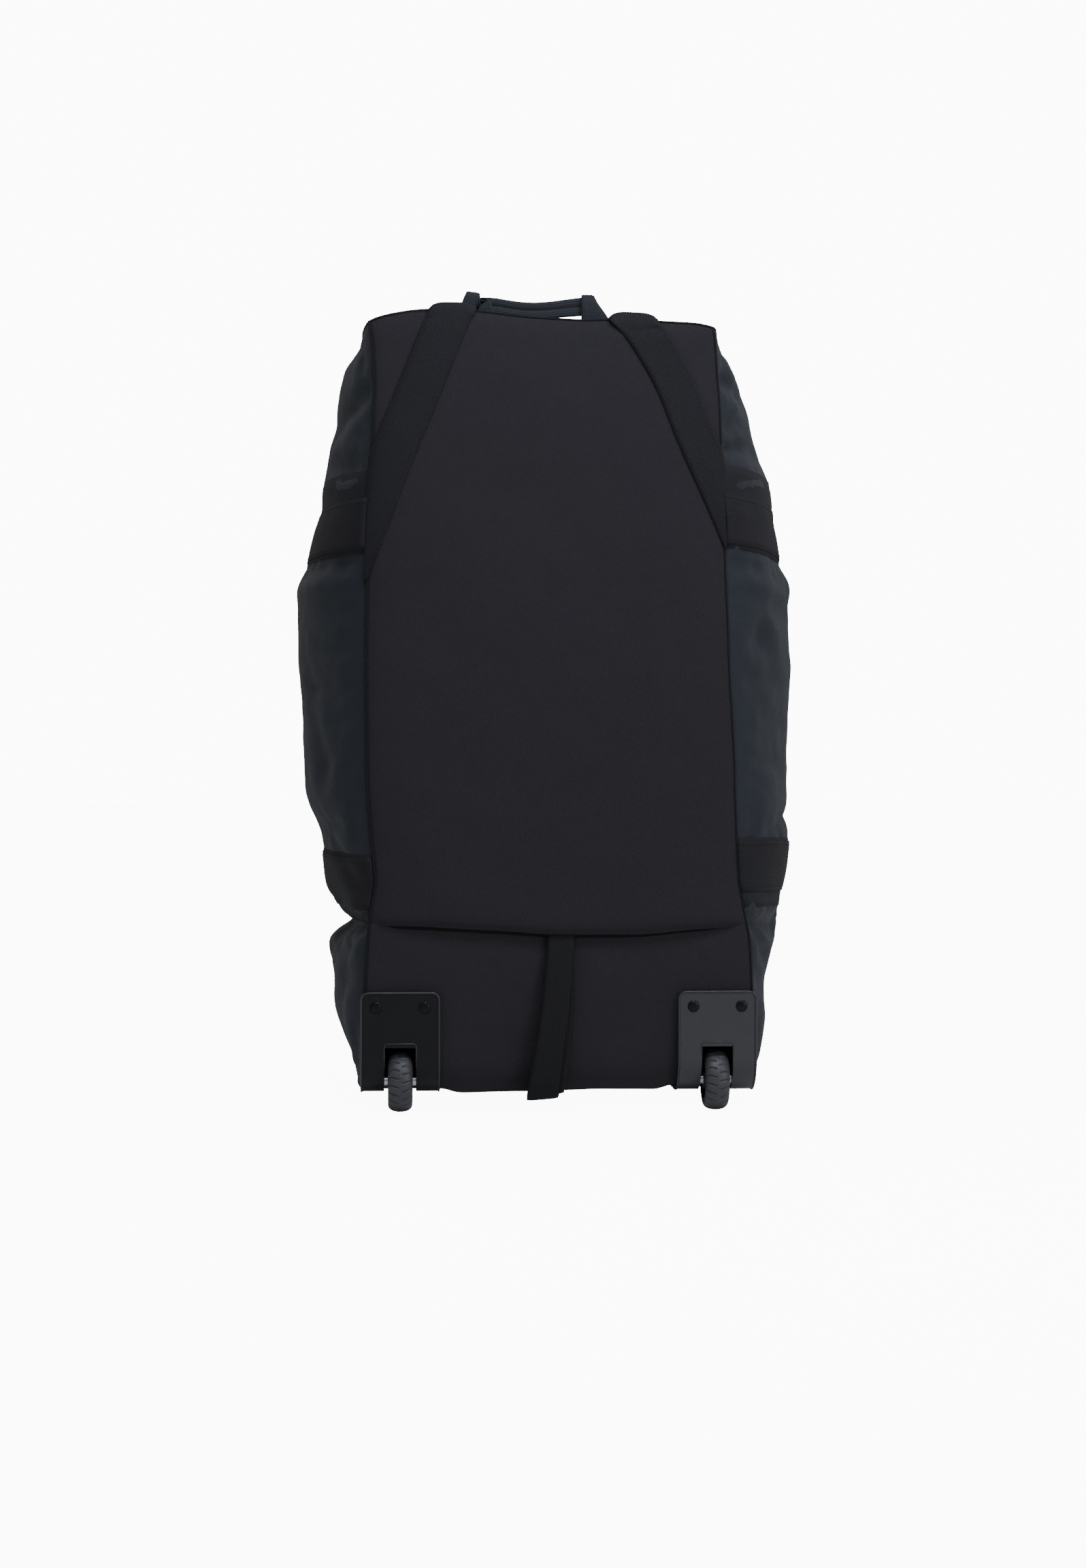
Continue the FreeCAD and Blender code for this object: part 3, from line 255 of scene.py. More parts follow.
def simulate(skin, grid):
    """Lets air pressure and a little spare cloth shape the sides and the top, and caps how far they move."""
    free = side_freedom(grid)
    pins = skin.vertex_groups.new(name="pins")
    for i, amount in enumerate(free):
        pins.add([i], float(1 - amount), "REPLACE")
    cloth = skin.modifiers.new("cloth", "CLOTH")
    settings = cloth.settings
    settings.quality = 4
    settings.mass = 0.25
    settings.tension_stiffness = 12
    settings.compression_stiffness = 12
    settings.shear_stiffness = 4
    settings.bending_stiffness = 0.35
    settings.air_damping = 1.5
    settings.use_pressure = True
    settings.uniform_pressure_force = 4.0
    settings.vertex_group_mass = "pins"
    settings.pin_stiffness = 1.0
    settings.shrink_min = -0.035
    settings.effector_weights.gravity = 0
    cloth.collision_settings.use_collision = False
    cloth.point_cache.frame_start = 1
    cloth.point_cache.frame_end = 20
    before = np.array([v.co for v in skin.data.vertices])
    for step in range(1, 21):
        bpy.context.scene.frame_set(step)
    solved = skin.evaluated_get(bpy.context.evaluated_depsgraph_get())
    after = np.array([v.co for v in solved.data.vertices])
    skin.modifiers.remove(cloth)
    skin.vertex_groups.remove(pins)
    bpy.context.scene.frame_set(1)
    move = after - before
    length = np.maximum(np.linalg.norm(move, axis=1, keepdims=True), 1e-9)
    move *= np.tanh(length / (CAP * MM)) * CAP * MM / length
    return before + move * np.minimum(1, free * 3)[:, None]


def set_points(mesh, points):
    mesh.vertices.foreach_set("co", np.asarray(points, np.float32).ravel())
    mesh.update()


def apply_modifiers(thing):
    """The object's mesh with its modifiers worked in."""
    result = bpy.data.meshes.new_from_object(thing.evaluated_get(bpy.context.evaluated_depsgraph_get()))
    thing.modifiers.clear()
    thing.data = result
    return thing


def link(mesh, name):
    thing = bpy.data.objects.new(name, mesh)
    bpy.context.scene.collection.objects.link(thing)
    return thing


# Creases: side, one end (y, z), other end, depth, half width.
CREASES = [
    (-1, (-180, 186), (-60, 176), 9, 8), (-1, (-184, 178), (-110, 148), 5, 11), (-1, (-150, 140), (-120, 60), 4, 15),
    (-1, (-185, 205), (-120, 262), 4, 9), (-1, (-60, 190), (60, 182), 7, 11), (-1, (40, 150), (90, 60), 5, 10),
    (-1, (-182, 536), (-40, 524), 3.5, 8), (-1, (-180, 625), (-70, 640), 4, 9), (-1, (-182, 700), (-90, 660), 4, 10),
    (-1, (-130, 330), (-90, 440), 3, 12), (-1, (60, 300), (110, 420), 3, 12), (-1, (60, 640), (150, 700), 4, 10),
    (1, (-184, 182), (-70, 178), 7, 8), (1, (-180, 170), (-120, 120), 4, 8), (1, (-186, 646), (-110, 652), 6, 7),
    (1, (-186, 664), (-130, 690), 5, 7), (1, (-184, 715), (-100, 690), 5, 9), (1, (-184, 600), (-60, 612), 4, 8),
    (1, (-184, 534), (-70, 522), 4, 8), (1, (-150, 470), (-110, 400), 3, 12), (1, (-182, 262), (-90, 276), 3, 9),
    (1, (60, 180), (150, 170), 6, 10), (1, (50, 420), (110, 330), 3, 12), (1, (40, 660), (150, 710), 4, 10),
]


def add_creases(points):
    """Presses the creases into the sides."""
    y, z = points[:, 1] / MM, points[:, 2] / MM
    for side, start, end, depth, width in CREASES:
        along = np.subtract(end, start)
        t = np.clip(((y - start[0]) * along[0] + (z - start[1]) * along[1]) / (along @ along), 0, 1)
        gap = np.hypot(y - start[0] - t * along[0], z - start[1] - t * along[1])
        press = depth * np.exp(-(gap / width) ** 2) - 0.45 * depth * np.exp(-((gap - 2 * width) / width) ** 2)
        inside = smooth((HALF_DEPTH - np.abs(y)) / 9) * (points[:, 0] * side > 0) * smooth(side_reach(points) / 5)
        points[:, 0] -= side * press * inside * (1 - 0.7 * t) * MM
    return points


def side_reach(points):
    """How far a point stands outside the line between its back and front seams, in mm."""
    x, y, z = (points / MM).T
    v = (y + HALF_DEPTH) / (2 * HALF_DEPTH)
    seam = np.where(x < 0, -curve(z, LEFT_SEAM), curve(z, RIGHT_SEAM))
    return np.clip(np.abs(x) - (seam * (1 - v) + FRONT_HALF * v), 0, 100)


def ripple(points, normals, size, height, seed):
    """Soft unevenness along the normals."""
    moves = [noise.fractal(Vector(p) / size + Vector((seed, 0, 0)), 0.9, 2.0, 3) for p in points]
    return points + normals * (np.array(moves) * height)[:, None]


def make_skin():
    """The bag's skin, simulated, subdivided and creased."""
    mesh, grid, spots = skin_mesh()
    skin = link(mesh, "skin")
    set_points(mesh, simulate(skin, grid))
    rounder = skin.modifiers.new("rounder", "SUBSURF")
    rounder.levels = rounder.render_levels = 1
    apply_modifiers(skin)
    data = skin.data
    points = np.array([v.co for v in data.vertices])
    normals = np.array([v.normal for v in data.vertices])
    points = add_creases(points)
    reach = smooth(side_reach(points) / 20)[:, None]
    points += (ripple(points, normals, 0.06, 0.0018, 3.0) - points) * reach
    calm = (1 - reach) * (1 - 0.8 * smooth((points[:, 2:] - 0.73) / 0.03))
    points += (ripple(points, normals, 0.13, 0.0021, 9.0) - points) * calm
    set_points(data, points)
    return skin, spots


def seam_line(skin, spots, keys):
    """Places of grid points on the finished skin. Subdivision keeps the first points in their order."""
    return np.array([skin.data.vertices[spots[k]].co for k in keys])


# ---- shaders ----
class Shader:
    """A node material under construction. Coordinates are the cloth's UVs in metres, or the object's own."""

    def __init__(self, name, roughness=0.8, **sockets):
        self.material = bpy.data.materials.new(name)
        self.material.use_nodes = True
        self.tree = self.material.node_tree
        self.surface = self.tree.nodes["Principled BSDF"]
        self.surface.inputs["Roughness"].default_value = roughness
        for socket, value in sockets.items():
            self.surface.inputs[socket.replace("_", " ")].default_value = value
        self.place = self.tree.nodes.new("ShaderNodeTexCoord")

    def node(self, kind, settings=(), **inputs):
        made = self.tree.nodes.new("ShaderNode" + kind)
        for key, value in dict(settings).items():
            setattr(made, key, value)
        for key, value in inputs.items():
            socket = made.inputs[int(key[1:]) if key[0] == "_" else key.replace("_", " ")]
            if isinstance(value, bpy.types.NodeSocket):
                self.tree.links.new(value, socket)
            else:
                socket.default_value = value
        return made

    def math(self, operation, first, second=0.0, third=0.0):
        return self.node("Math", {"operation": operation}, _0=first, _1=second, _2=third).outputs[0]

    def split(self, coordinates):
        return self.node("SeparateXYZ", _0=self.place.outputs[coordinates]).outputs

    def noise(self, scale, detail=3.0, coordinates="Object"):
        made = self.node("TexNoise", _0=self.place.outputs[coordinates], Scale=scale, Detail=detail)
        return made.outputs["Fac"]

    def wave(self, place, pitch):
        """A sine of a coordinate, from 0 to 1."""
        turn = self.math("MULTIPLY", place, 2 * math.pi / pitch)
        return self.math("MULTIPLY_ADD", self.math("SINE", turn), 0.5, 0.5)

    def colour(self, dark, light, amount):
        mixed = self.node("Mix", {"data_type": "RGBA"}, Factor=amount)
        mixed.inputs["A"].default_value = (*dark, 1)
        mixed.inputs["B"].default_value = (*light, 1)
        self.tree.links.new(mixed.outputs["Result"], self.surface.inputs["Base Color"])

    def rough(self, low, high, amount):
        made = self.node("MapRange", Value=amount, _3=low, _4=high)
        self.tree.links.new(made.outputs[0], self.surface.inputs["Roughness"])

    def bump(self, height, depth, strength=1.0):
        made = self.node("Bump", Height=height, Distance=depth, Strength=strength)
        self.tree.links.new(made.outputs[0], self.surface.inputs["Normal"])


def shade(colour, amount):
    return tuple(c * amount for c in colour)


def woven(name, colour, pitch, sheen=0.25, roughness=0.75):
    """Plain weave with slightly uneven yarns, cloudy dye, and yarn crowns lighter than the gaps between them."""
    made = Shader(name, roughness, Sheen_Weight=sheen, Sheen_Roughness=0.45, Specular_IOR_Level=0.14)
    u, v, _ = made.split("UV")
    threads = made.math("MULTIPLY", made.wave(u, pitch), made.wave(v, pitch))
    offset = made.math("MULTIPLY", made.wave(made.math("ADD", u, pitch / 2), pitch),
                       made.wave(made.math("ADD", v, pitch / 2), pitch))
    weave = made.math("ADD", threads, offset)
    slub = made.noise(420, 2.0)
    cloud = made.noise(9, 4.0)
    tone = made.math("ADD", made.math("MULTIPLY", weave, 0.35),
                     made.math("ADD", made.math("MULTIPLY", slub, 0.25), made.math("MULTIPLY", cloud, 0.4)))
    made.colour(shade(colour, 0.72), shade(colour, 1.3), tone)
    made.rough(roughness - 0.08, roughness + 0.08, cloud)
    made.bump(made.math("ADD", weave, made.math("MULTIPLY", slub, 0.6)), 0.00016)
    return made.material


def ribbed(name, colour, rib, sheen=0.2):
    """Webbing: lengthwise ribs crossed by fine picks. U runs across it and V along it."""
    made = Shader(name, 0.7, Sheen_Weight=sheen, Sheen_Roughness=0.4, Specular_IOR_Level=0.12)
    u, v, _ = made.split("UV")
    ribs = made.wave(u, rib)
    slant = made.wave(made.math("ADD", v, made.math("MULTIPLY", ribs, rib * 0.4)), rib * 0.8)
    weave = made.math("MULTIPLY_ADD", slant, 0.5, ribs)
    fuzz = made.noise(600, 2.0)
    cloud = made.noise(14, 3.0)
    tone = made.math("ADD", made.math("MULTIPLY", weave, 0.3),
                     made.math("ADD", made.math("MULTIPLY", fuzz, 0.25), made.math("MULTIPLY", cloud, 0.35)))
    made.colour(shade(colour, 0.7), shade(colour, 1.35), tone)
    made.rough(0.62, 0.8, cloud)
    made.bump(made.math("ADD", weave, made.math("MULTIPLY", fuzz, 0.4)), 0.00025)
    return made.material


def moulded(name, colour, roughness=0.42, grain=900, depth=0.00005, shine=0.45):
    """Moulded plastic or rubber: fine grain, faint flow marks, small scuffs that catch the light."""
    made = Shader(name, roughness, Specular_IOR_Level=shine)
    fine = made.noise(grain, 3.0)
    flow = made.noise(16, 3.0)
    scuff = made.node("TexNoise", _0=made.place.outputs["Object"], Scale=70.0, Detail=6.0, Distortion=1.5)
    worn = made.node("MapRange", _0=scuff.outputs["Fac"], _1=0.6, _2=0.72)
    tone = made.math("MULTIPLY_ADD", worn.outputs[0], 0.5, made.math("MULTIPLY", flow, 0.5))
    made.colour(shade(colour, 0.85), shade(colour, 1.45), tone)
    made.rough(roughness - 0.06, roughness + 0.16, made.math("MULTIPLY_ADD", worn.outputs[0], 0.6, flow))
    made.bump(fine, depth)
    return made.material


def metal(name, colour, roughness=0.3, brushed=0.0):
    """Plated or lacquered metal with fine scratches and a little tarnish."""
    made = Shader(name, roughness, Metallic=1.0, Specular_IOR_Level=0.5)
    stretch = made.node("Mapping", Vector=made.place.outputs["Object"], Scale=(1, 1, 1 - 0.9 * brushed))
    fine = made.node("TexNoise", _0=stretch.outputs[0], Scale=1500.0, Detail=2.0).outputs["Fac"]
    tarnish = made.noise(90, 4.0)
    made.colour(shade(colour, 0.75), shade(colour, 1.1), tarnish)
    made.rough(roughness - 0.08, roughness + 0.15, tarnish)
    made.bump(fine, 0.00003)
    return made.material


FABRIC = {
    "back": woven("back_cloth", (0.0138, 0.0123, 0.0168), 0.0011, sheen=0.06),
    "base": woven("base_cloth", (0.0157, 0.0138, 0.0182), 0.0009, sheen=0.03),
    "side": woven("side_cloth", (0.0148, 0.0172, 0.0240), 0.0010, sheen=0.05, roughness=0.66),
    "patch": woven("patch_cloth", (0.0108, 0.0112, 0.0150), 0.0013, sheen=0.02),
    "lining": woven("lining_cloth", (0.020, 0.020, 0.023), 0.0008, sheen=0.05),
    "tape": woven("tape_cloth", (0.0070, 0.0070, 0.0085), 0.0007, sheen=0.03),
}
WEBBING = ribbed("webbing_weave", (0.0112, 0.0106, 0.0138), 0.0021, sheen=0.02)
LOOP_WEBBING = ribbed("loop_weave", (0.0080, 0.0080, 0.0086), 0.0021, sheen=0.01)
# The pull handle's webbing is a lighter copy of the webbing: painted light on the handle, which the lamps leave in
# shade.
HANDLE_WEBBING_PAINTED_LIGHT = ribbed("handle_weave_painted_light", (0.0190, 0.0210, 0.0270), 0.0021, sheen=0.03)
# Near-black cloth for the roll under the back panel's fold: painted shadow.
FOLD_SHADOW_CLOTH = woven("fold_painted_shadow_cloth", (0.0022, 0.0022, 0.0028), 0.0009, sheen=0.0)
THREAD = ribbed("sewing_thread", (0.009, 0.009, 0.012), 0.0004, sheen=0.02)
# One plastic for both housing plates, in two copies: the left one darkened as painted shade, the right one lightened as
# a painted highlight of the key light's reflection.
LIT_AND_SHADED_MOULDING = {
    "left": moulded("moulding_painted_shade", (0.0034, 0.0036, 0.0046), 0.36, shine=0.2),
    "right": moulded("moulding_painted_highlight", (0.0190, 0.0190, 0.0245), 0.36, shine=0.45),
}
# Lighter plastic for the plates' raised rims and slot lips: a painted highlight along the edges.
RIM_HIGHLIGHT = moulded("rim_painted_highlight", (0.0125, 0.013, 0.0155), 0.3)
HUB = moulded("hub_moulding", (0.012, 0.012, 0.013), 0.5)
RUBBER = moulded("tyre_rubber", (0.0235, 0.024, 0.0295), 0.42, grain=700, depth=0.00008)
BOARD = moulded("plain_board", (0.03, 0.03, 0.03), 0.55, grain=300)
COIL = moulded("zip_coil", (0.014, 0.014, 0.015), 0.38)
LACQUER = metal("lacquered_metal", (0.05, 0.05, 0.055), 0.32)
RIVET = metal("rivet_heads", (0.018, 0.018, 0.021), 0.28)
STEEL = metal("zinc_steel", (0.72, 0.72, 0.74), 0.3, brushed=0.8)


# ---- mesh builders ----
def piece(name, mesh, look, body, nodes=(), smooth_faces=True):
    """A finished piece: its material, the body it rides on and the CAD nodes it stands for."""
    thing = mesh if isinstance(mesh, bpy.types.Object) else link(mesh, name)
    thing.name = name
    for index, material in enumerate(look if isinstance(look, list) else [look]):
        if index < len(thing.data.materials):
            thing.data.materials[index] = material
        else:
            thing.data.materials.append(material)
    if smooth_faces:
        thing.data.polygons.foreach_set("use_smooth", [True] * len(thing.data.polygons))
    if body:
        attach(thing, body)
    if nodes:
        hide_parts(*nodes)
    return thing


def mesh_from(name, points, faces, uvs=None):
    mesh = bpy.data.meshes.new(name)
    mesh.from_pydata(np.asarray(points, float).tolist(), [], faces)
    if uvs is not None:
        layer = mesh.uv_layers.new(name="cloth")
        flat = [uvs[i] for face in faces for i in face]
        layer.data.foreach_set("uv", np.array(flat, float).ravel())
    return mesh


def units(vectors):
    return vectors / np.maximum(np.linalg.norm(vectors, axis=-1, keepdims=True), 1e-9)


def ribbon(name, rows, normals, thick, lift=0.0002, edge=0.35):
    """A strip of webbing over rows of points, each row running across it. Its long edges are rounded."""
    rows, normals = np.asarray(rows, float), np.asarray(normals, float)
    n, m = rows.shape[:2]
    across = np.concatenate([np.zeros(1), np.cumsum(np.linalg.norm(np.diff(rows[n // 2], axis=0), axis=1))])
    along = np.concatenate([np.zeros(1), np.cumsum(np.linalg.norm(np.diff(rows[:, m // 2], axis=0), axis=1))])
    rim = np.minimum(across, across[-1] - across) / thick
    height = thick * (1 - edge * (1 - np.clip(rim, 0, 1)) ** 2)
    outer = rows + normals * (lift + height[None, :, None])
    inner = rows + normals * (lift + thick - height)[None, :, None]
    points = np.concatenate([outer.reshape(-1, 3), inner.reshape(-1, 3)])
    uvs = [(across[j], along[i]) for _ in range(2) for i in range(n) for j in range(m)]
    back = n * m
    faces = []
    for i in range(n - 1):
        for j in range(m - 1):
            a, b, c, d = i * m + j, i * m + j + 1, (i + 1) * m + j + 1, (i + 1) * m + j
            faces += [(a, b, c, d), (back + d, back + c, back + b, back + a)]
        for j in (0, m - 1):
            a, d = i * m + j, (i + 1) * m + j
            faces.append((a, d, back + d, back + a) if j == 0 else (d, a, back + a, back + d))
    for i in (0, n - 1):
        for j in range(m - 1):
            a, b = i * m + j, i * m + j + 1
            faces.append((b, a, back + a, back + b) if i == 0 else (a, b, back + b, back + a))
    return mesh_from(name, points, faces, uvs)


def tube(name, path, radius, sides=8, closed=False):
    """A round tube along a path of points."""
    path = np.asarray(path, float)
    ahead = np.roll(path, -1, 0) - np.roll(path, 1, 0)
    if not closed:
        ahead[0], ahead[-1] = path[1] - path[0], path[-1] - path[-2]
    ahead = units(ahead)
    up = np.zeros_like(path)
    start = np.array([0.0, 0, 1]) if abs(ahead[0][2]) < 0.9 else np.array([0.0, 1, 0])
    for i, t in enumerate(ahead):
        start = units(start - t * (start @ t))
        up[i] = start
    out = np.cross(ahead, up)
    turn = np.linspace(0, 2 * math.pi, sides, endpoint=False)
    ring = up[:, None] * np.cos(turn)[None, :, None] + out[:, None] * np.sin(turn)[None, :, None]
    points = (path[:, None] + ring * radius).reshape(-1, 3)
    run = np.concatenate([np.zeros(1), np.cumsum(np.linalg.norm(np.diff(path, axis=0), axis=1))])
    uvs = [(turn[j] * radius, run[i]) for i in range(len(path)) for j in range(sides)]
    faces = []
    for i in range(len(path) if closed else len(path) - 1):
        k = (i + 1) % len(path)
        for j in range(sides):
            q = (j + 1) % sides
            faces.append((i * sides + j, k * sides + j, k * sides + q, i * sides + q))
    if not closed:
        faces.append(tuple(range(sides)))
        faces.append(tuple((len(path) - 1) * sides + j for j in reversed(range(sides))))
    return mesh_from(name, points, faces, uvs)


def joined(name, meshes):
    """Several meshes as one."""
    body = bmesh.new()
    for mesh in meshes:
        body.from_mesh(mesh)
    mesh = bpy.data.meshes.new(name)
    body.to_mesh(mesh)
    body.free()
    return mesh


STITCH = 0.0034
STITCH_GAP = 0.0012


def stitches(path, normals, radius=0.00024):
    """A row of short thread runs along a path, each sunk at its ends."""
    path, normals = np.asarray(path, float), np.asarray(normals, float)
    run = np.concatenate([np.zeros(1), np.cumsum(np.linalg.norm(np.diff(path, axis=0), axis=1))])
    at = lambda table, s: np.array([np.interp(s, run, table[:, k]) for k in range(3)])
    points, faces = [], []
    count = int(run[-1] / (STITCH + STITCH_GAP))
    for n in range(count):
        start = n * (STITCH + STITCH_GAP) + STITCH_GAP / 2
        base = len(points)
        for share, rise, wide in ((0, -0.6, 0.45), (0.25, 0.35, 1.0), (0.75, 0.35, 1.0), (1, -0.6, 0.45)):
            middle, normal = at(path, start + share * STITCH), units(at(normals, start + share * STITCH))
            ahead = units(at(path, start + STITCH) - at(path, start))
            side = np.cross(ahead, normal)
            for k in range(5):
                turn = 2 * math.pi * k / 5
                ring = side * math.cos(turn) + normal * math.sin(turn)
                points.append(middle + normal * rise * radius + ring * radius * wide)
        for a in range(3):
            for k in range(5):
                q = (k + 1) % 5
                faces.append((base + a * 5 + k, base + (a + 1) * 5 + k, base + (a + 1) * 5 + q, base + a * 5 + q))
        faces.append(tuple(base + k for k in range(5)))
        faces.append(tuple(base + 15 + k for k in reversed(range(5))))
    return mesh_from("stitches", points, faces)


def thread_rows(name, rows, body, on_body=None):
    """Rows of stitches as one piece. Each row is a path and its normals."""
    mesh = joined(name, [stitches(path, normals) for path, normals in rows])
    return piece(name, mesh, THREAD, body)


# ---- panels cut from the skin ----
def panel(skin, kind, thickness, keep=None):
    """One panel of the skin as its own object, with a lining on its inside."""
    body = bmesh.new()
    body.from_mesh(skin.data)
    index = PANELS.index(kind)
    away = [f for f in body.faces
            if f.material_index != index or (keep and not keep(f.calc_center_median() / MM))]
    bmesh.ops.delete(body, geom=away, context="FACES")
    for face in body.faces:
        face.material_index = 0
        face.smooth = True
    mesh = bpy.data.meshes.new(kind)
    body.to_mesh(mesh)
    body.free()
    thing = link(mesh, kind)
    shell = thing.modifiers.new("shell", "SOLIDIFY")
    shell.thickness = thickness
    shell.offset = -1
    shell.use_even_offset = True
    shell.material_offset = 1
    mesh.materials.clear()
    mesh.materials.append(FABRIC["side"])
    mesh.materials.append(FABRIC["lining"])
    return apply_modifiers(thing)


def outside_wheel_well(centre):
    x, y, z = centre
    return not (abs(abs(x) - 154) < 19 and z < 70 and y < -112)


def make_panels(skin):
    made = {}
    plan = [
        ("back", "back_cloth_panel", "back", "back_fabric", ["back_panel"], 0.0034, 0.8),
        ("boot", "base_boot_cloth", "base", "base_fabric", ["base_boot"], 0.0022, 0.9),
        ("bottom", "bottom_end_cloth", "base", "base_fabric", ["bottom_end_panel"], 0.0022, 0.9),
        ("top", "top_end_cloth", "side", "side_fabric", ["top_end_panel"], 0.002, 0.6),
        ("left", "left_side_cloth", "side", "side_fabric", ["left_side_panel"], 0.0016, 0.6),
        ("right", "right_side_cloth", "side", "side_fabric", ["right_side_panel"], 0.0016, 0.6),
        ("strip_low", "front_lower_cloth", "side", "side_fabric", ["front_lower_strip"], 0.002, 0.6),
        ("strip_high", "front_upper_cloth", "side", "side_fabric", ["front_upper_strip"], 0.002, 0.6),
        ("flap_left", "flap_cloth_left", "side", "side_fabric", ["front_flap_left"], 0.002, 0.6),
        ("flap_right", "flap_cloth_right", "side", "side_fabric", ["front_flap_right"], 0.002, 0.6),
    ]
    for kind, name, look, slot, nodes, thickness, fill in plan:
        thing = panel(skin, kind, thickness, outside_wheel_well if kind == "boot" else None)
        flap = kind.startswith("flap")
        piece(name, thing, [FABRIC[look], FABRIC["lining"]], None if flap else "bag", nodes)
        if flap:
            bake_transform(thing)
        made[kind] = thing
    return made


# ---- seams and webbing on the skin ----
def make_seams(skin, spots):
    """Folded seam edges where panels meet, as thin rolls of cloth, and a near-black roll under the back's fold as
    painted shadow.
    """
    nu, ny, nz = len(U_LINES) - 1, len(Y_LINES) - 1, len(Z_LINES) - 1
    z_fold = int(np.argmin(np.abs(Z_LINES - FOLD)))
    y_boot = int(np.argmin(np.abs(Y_LINES - BOOT_EDGE)))
    runs = []
    for i in (0, nu):
        runs.append([(i, 0, k) for k in range(nz + 1)])
        runs.append([(i, ny, k) for k in range(nz + 1)])
        runs.append([(i, j, 0) for j in range(ny + 1)])
        runs.append([(i, j, nz) for j in range(ny + 1)])
    runs.append([(i, 0, nz) for i in range(nu + 1)])
    runs.append([(i, ny, nz) for i in range(nu + 1)])
    runs.append([(i, ny, 0) for i in range(nu + 1)])
    runs.append([(i, y_boot, 0) for i in range(nu + 1)])
    tubes = [tube("seam", seam_line(skin, spots, run), 0.0012, 6) for run in runs]
    piece("seam_edges", joined("seam_edges", tubes), FABRIC["tape"], "bag")
    # A near-black roll under the back panel's lower edge, painted shadow under the fold's overhang; it is pushed into
    # the bag towards both ends and towards the right, so that less of it shows there.
    under_lip = seam_line(skin, spots, [(i, 0, z_fold) for i in range(1, nu)])
    share = np.linspace(-1, 1, len(under_lip))
    under_lip[:, 1] += 0.006 * np.abs(share) ** 8 + 0.0014 * smooth(share / 0.6) - 0.0012
    piece("fold_painted_shadow_roll", tube("fold_painted_shadow_roll", under_lip, 0.0025, 10), FOLD_SHADOW_CLOTH, "bag")


def cast(tree, origin, direction):
    """Where a ray meets the skin, and the skin's outward normal there. A ray that misses moves inward a little."""
    middle = Vector((0, 0, 0.4))
    for step in range(14):
        start = Vector(origin).lerp(middle, 0.004 * step)
        hit, normal, _, _ = tree.ray_cast(start, Vector(direction))
        if hit is not None:
            return np.array(hit), np.array(normal)
    hit, normal, _, _ = tree.find_nearest(Vector(origin))
    return np.array(hit), np.array(normal)


def side_ribbon(tree, side, low, high, y_from, y_to, thick, lift, name, slant):
    """A band over a side, between two levels that climb by the slant towards the back."""
    rows, normals = [], []
    for y in np.linspace(y_from, y_to, 64):
        row, ups = [], []
        climb = slant * (y_to - y) / (y_to - y_from)
        for z in np.linspace(low + climb, high + climb, 13):
            found = cast(tree, (side * 0.4, y * MM, z * MM), (-side, 0, 0))
            row.append(found[0])
            ups.append(found[1])
        rows.append(row)
        normals.append(ups)
    rows, normals = np.array(rows), np.array(normals)
    rows, normals = soften(rows, 2), units(soften(normals, 4))
    if side < 0:
        rows, normals = rows[:, ::-1], normals[:, ::-1]
    return ribbon(name, rows, normals, thick * MM, lift * MM), rows, normals


def soften(grid, times):
    """Evens out a grid of vectors along both directions, its edges kept."""
    for _ in range(times):
        inner = grid.copy()
        inner[1:-1] = (grid[:-2] + 2 * grid[1:-1] + grid[2:]) / 4
        grid = inner.copy()
        grid[:, 1:-1] = (inner[:, :-2] + 2 * inner[:, 1:-1] + inner[:, 2:]) / 4
    return grid


BAND_SLANT = {("upper", "left"): 4, ("lower", "left"): -8, ("upper", "right"): 11, ("lower", "right"): 9}


def make_bands(tree):
    """Webbing bands over the sides with the reinforcement cloth under them."""
    for side, word in ((-1, "left"), (1, "right")):
        for level, band, patch in (("upper", UPPER_BAND, (538, 619)), ("lower", LOWER_BAND, (190, 258))):
            slant = BAND_SLANT[level, word]
            mesh, _, _ = side_ribbon(tree, side, *patch, -186, 182.4, 0.9, 0.2, "patch", slant)
            piece("%s_%s_patch_cloth" % (level, word), mesh, FABRIC["patch"], "bag",
                  ["%s_%s_patch" % (level, word)])
            mesh, rows, normals = side_ribbon(tree, side, *band, -186.6, 182.8, 1.5, 1.1, "band", slant)
            name = "%s_%s_band_webbing" % (level, word)
            piece(name, mesh, WEBBING, "bag", ["%s_%s_band" % (level, word)])
            paths = [(rows[:, j] + normals[:, j] * 0.0026, normals[:, j]) for j in (1, 11)]
            thread_rows("%s_%s_band_stitches" % (level, word), paths, "bag")


def blend_path(points, count):
    """A smooth open curve through a few points, read at even steps."""
    points = np.asarray(points, float)
    run = np.concatenate([np.zeros(1), np.cumsum(np.linalg.norm(np.diff(points, axis=0), axis=1))])
    slope = np.gradient(points, run, axis=0)
    made = []
    for s in np.linspace(0, run[-1], count):
        i = min(int(np.searchsorted(run, s, "right")) - 1, len(run) - 2)
        h = run[i + 1] - run[i]
        t = (s - run[i]) / h
        made.append((2 * t ** 3 - 3 * t * t + 1) * points[i] + (t ** 3 - 2 * t * t + t) * h * slope[i]
                    + (3 * t * t - 2 * t ** 3) * points[i + 1] + (t ** 3 - t * t) * h * slope[i + 1])
    return np.array(made)


def swept(path, across, widths, count=9):
    """Rows of points for a ribbon: a path, the direction across it and half widths along it."""
    path, across = np.asarray(path, float), units(np.asarray(across, float))
    across = np.broadcast_to(across, path.shape)
    shares = np.linspace(-1, 1, count)
    rows = path[:, None] + across[:, None] * (shares[None, :, None] * np.asarray(widths)[:, None, None])
    ahead = units(np.gradient(path, axis=0))
    normals = units(np.cross(across, ahead))
    return rows, np.repeat(normals[:, None], count, 1)


# Back straps: middle line from the top edge down to the side seam, and the half width.
STRAPS = {
    "left": ([(-104, 779), (-126.4, 724), (-144, 680), (-158, 647), (-169.5, 617), (-190, 562), (-208, 514)], 20.6),
    "right": ([(73, 772), (81, 762), (97.4, 737), (114.8, 703.6), (128, 670), (137, 648.8), (162, 594), (180, 552), (198, 508)],
              18.6),
}
STRAP_THICK = 1.7


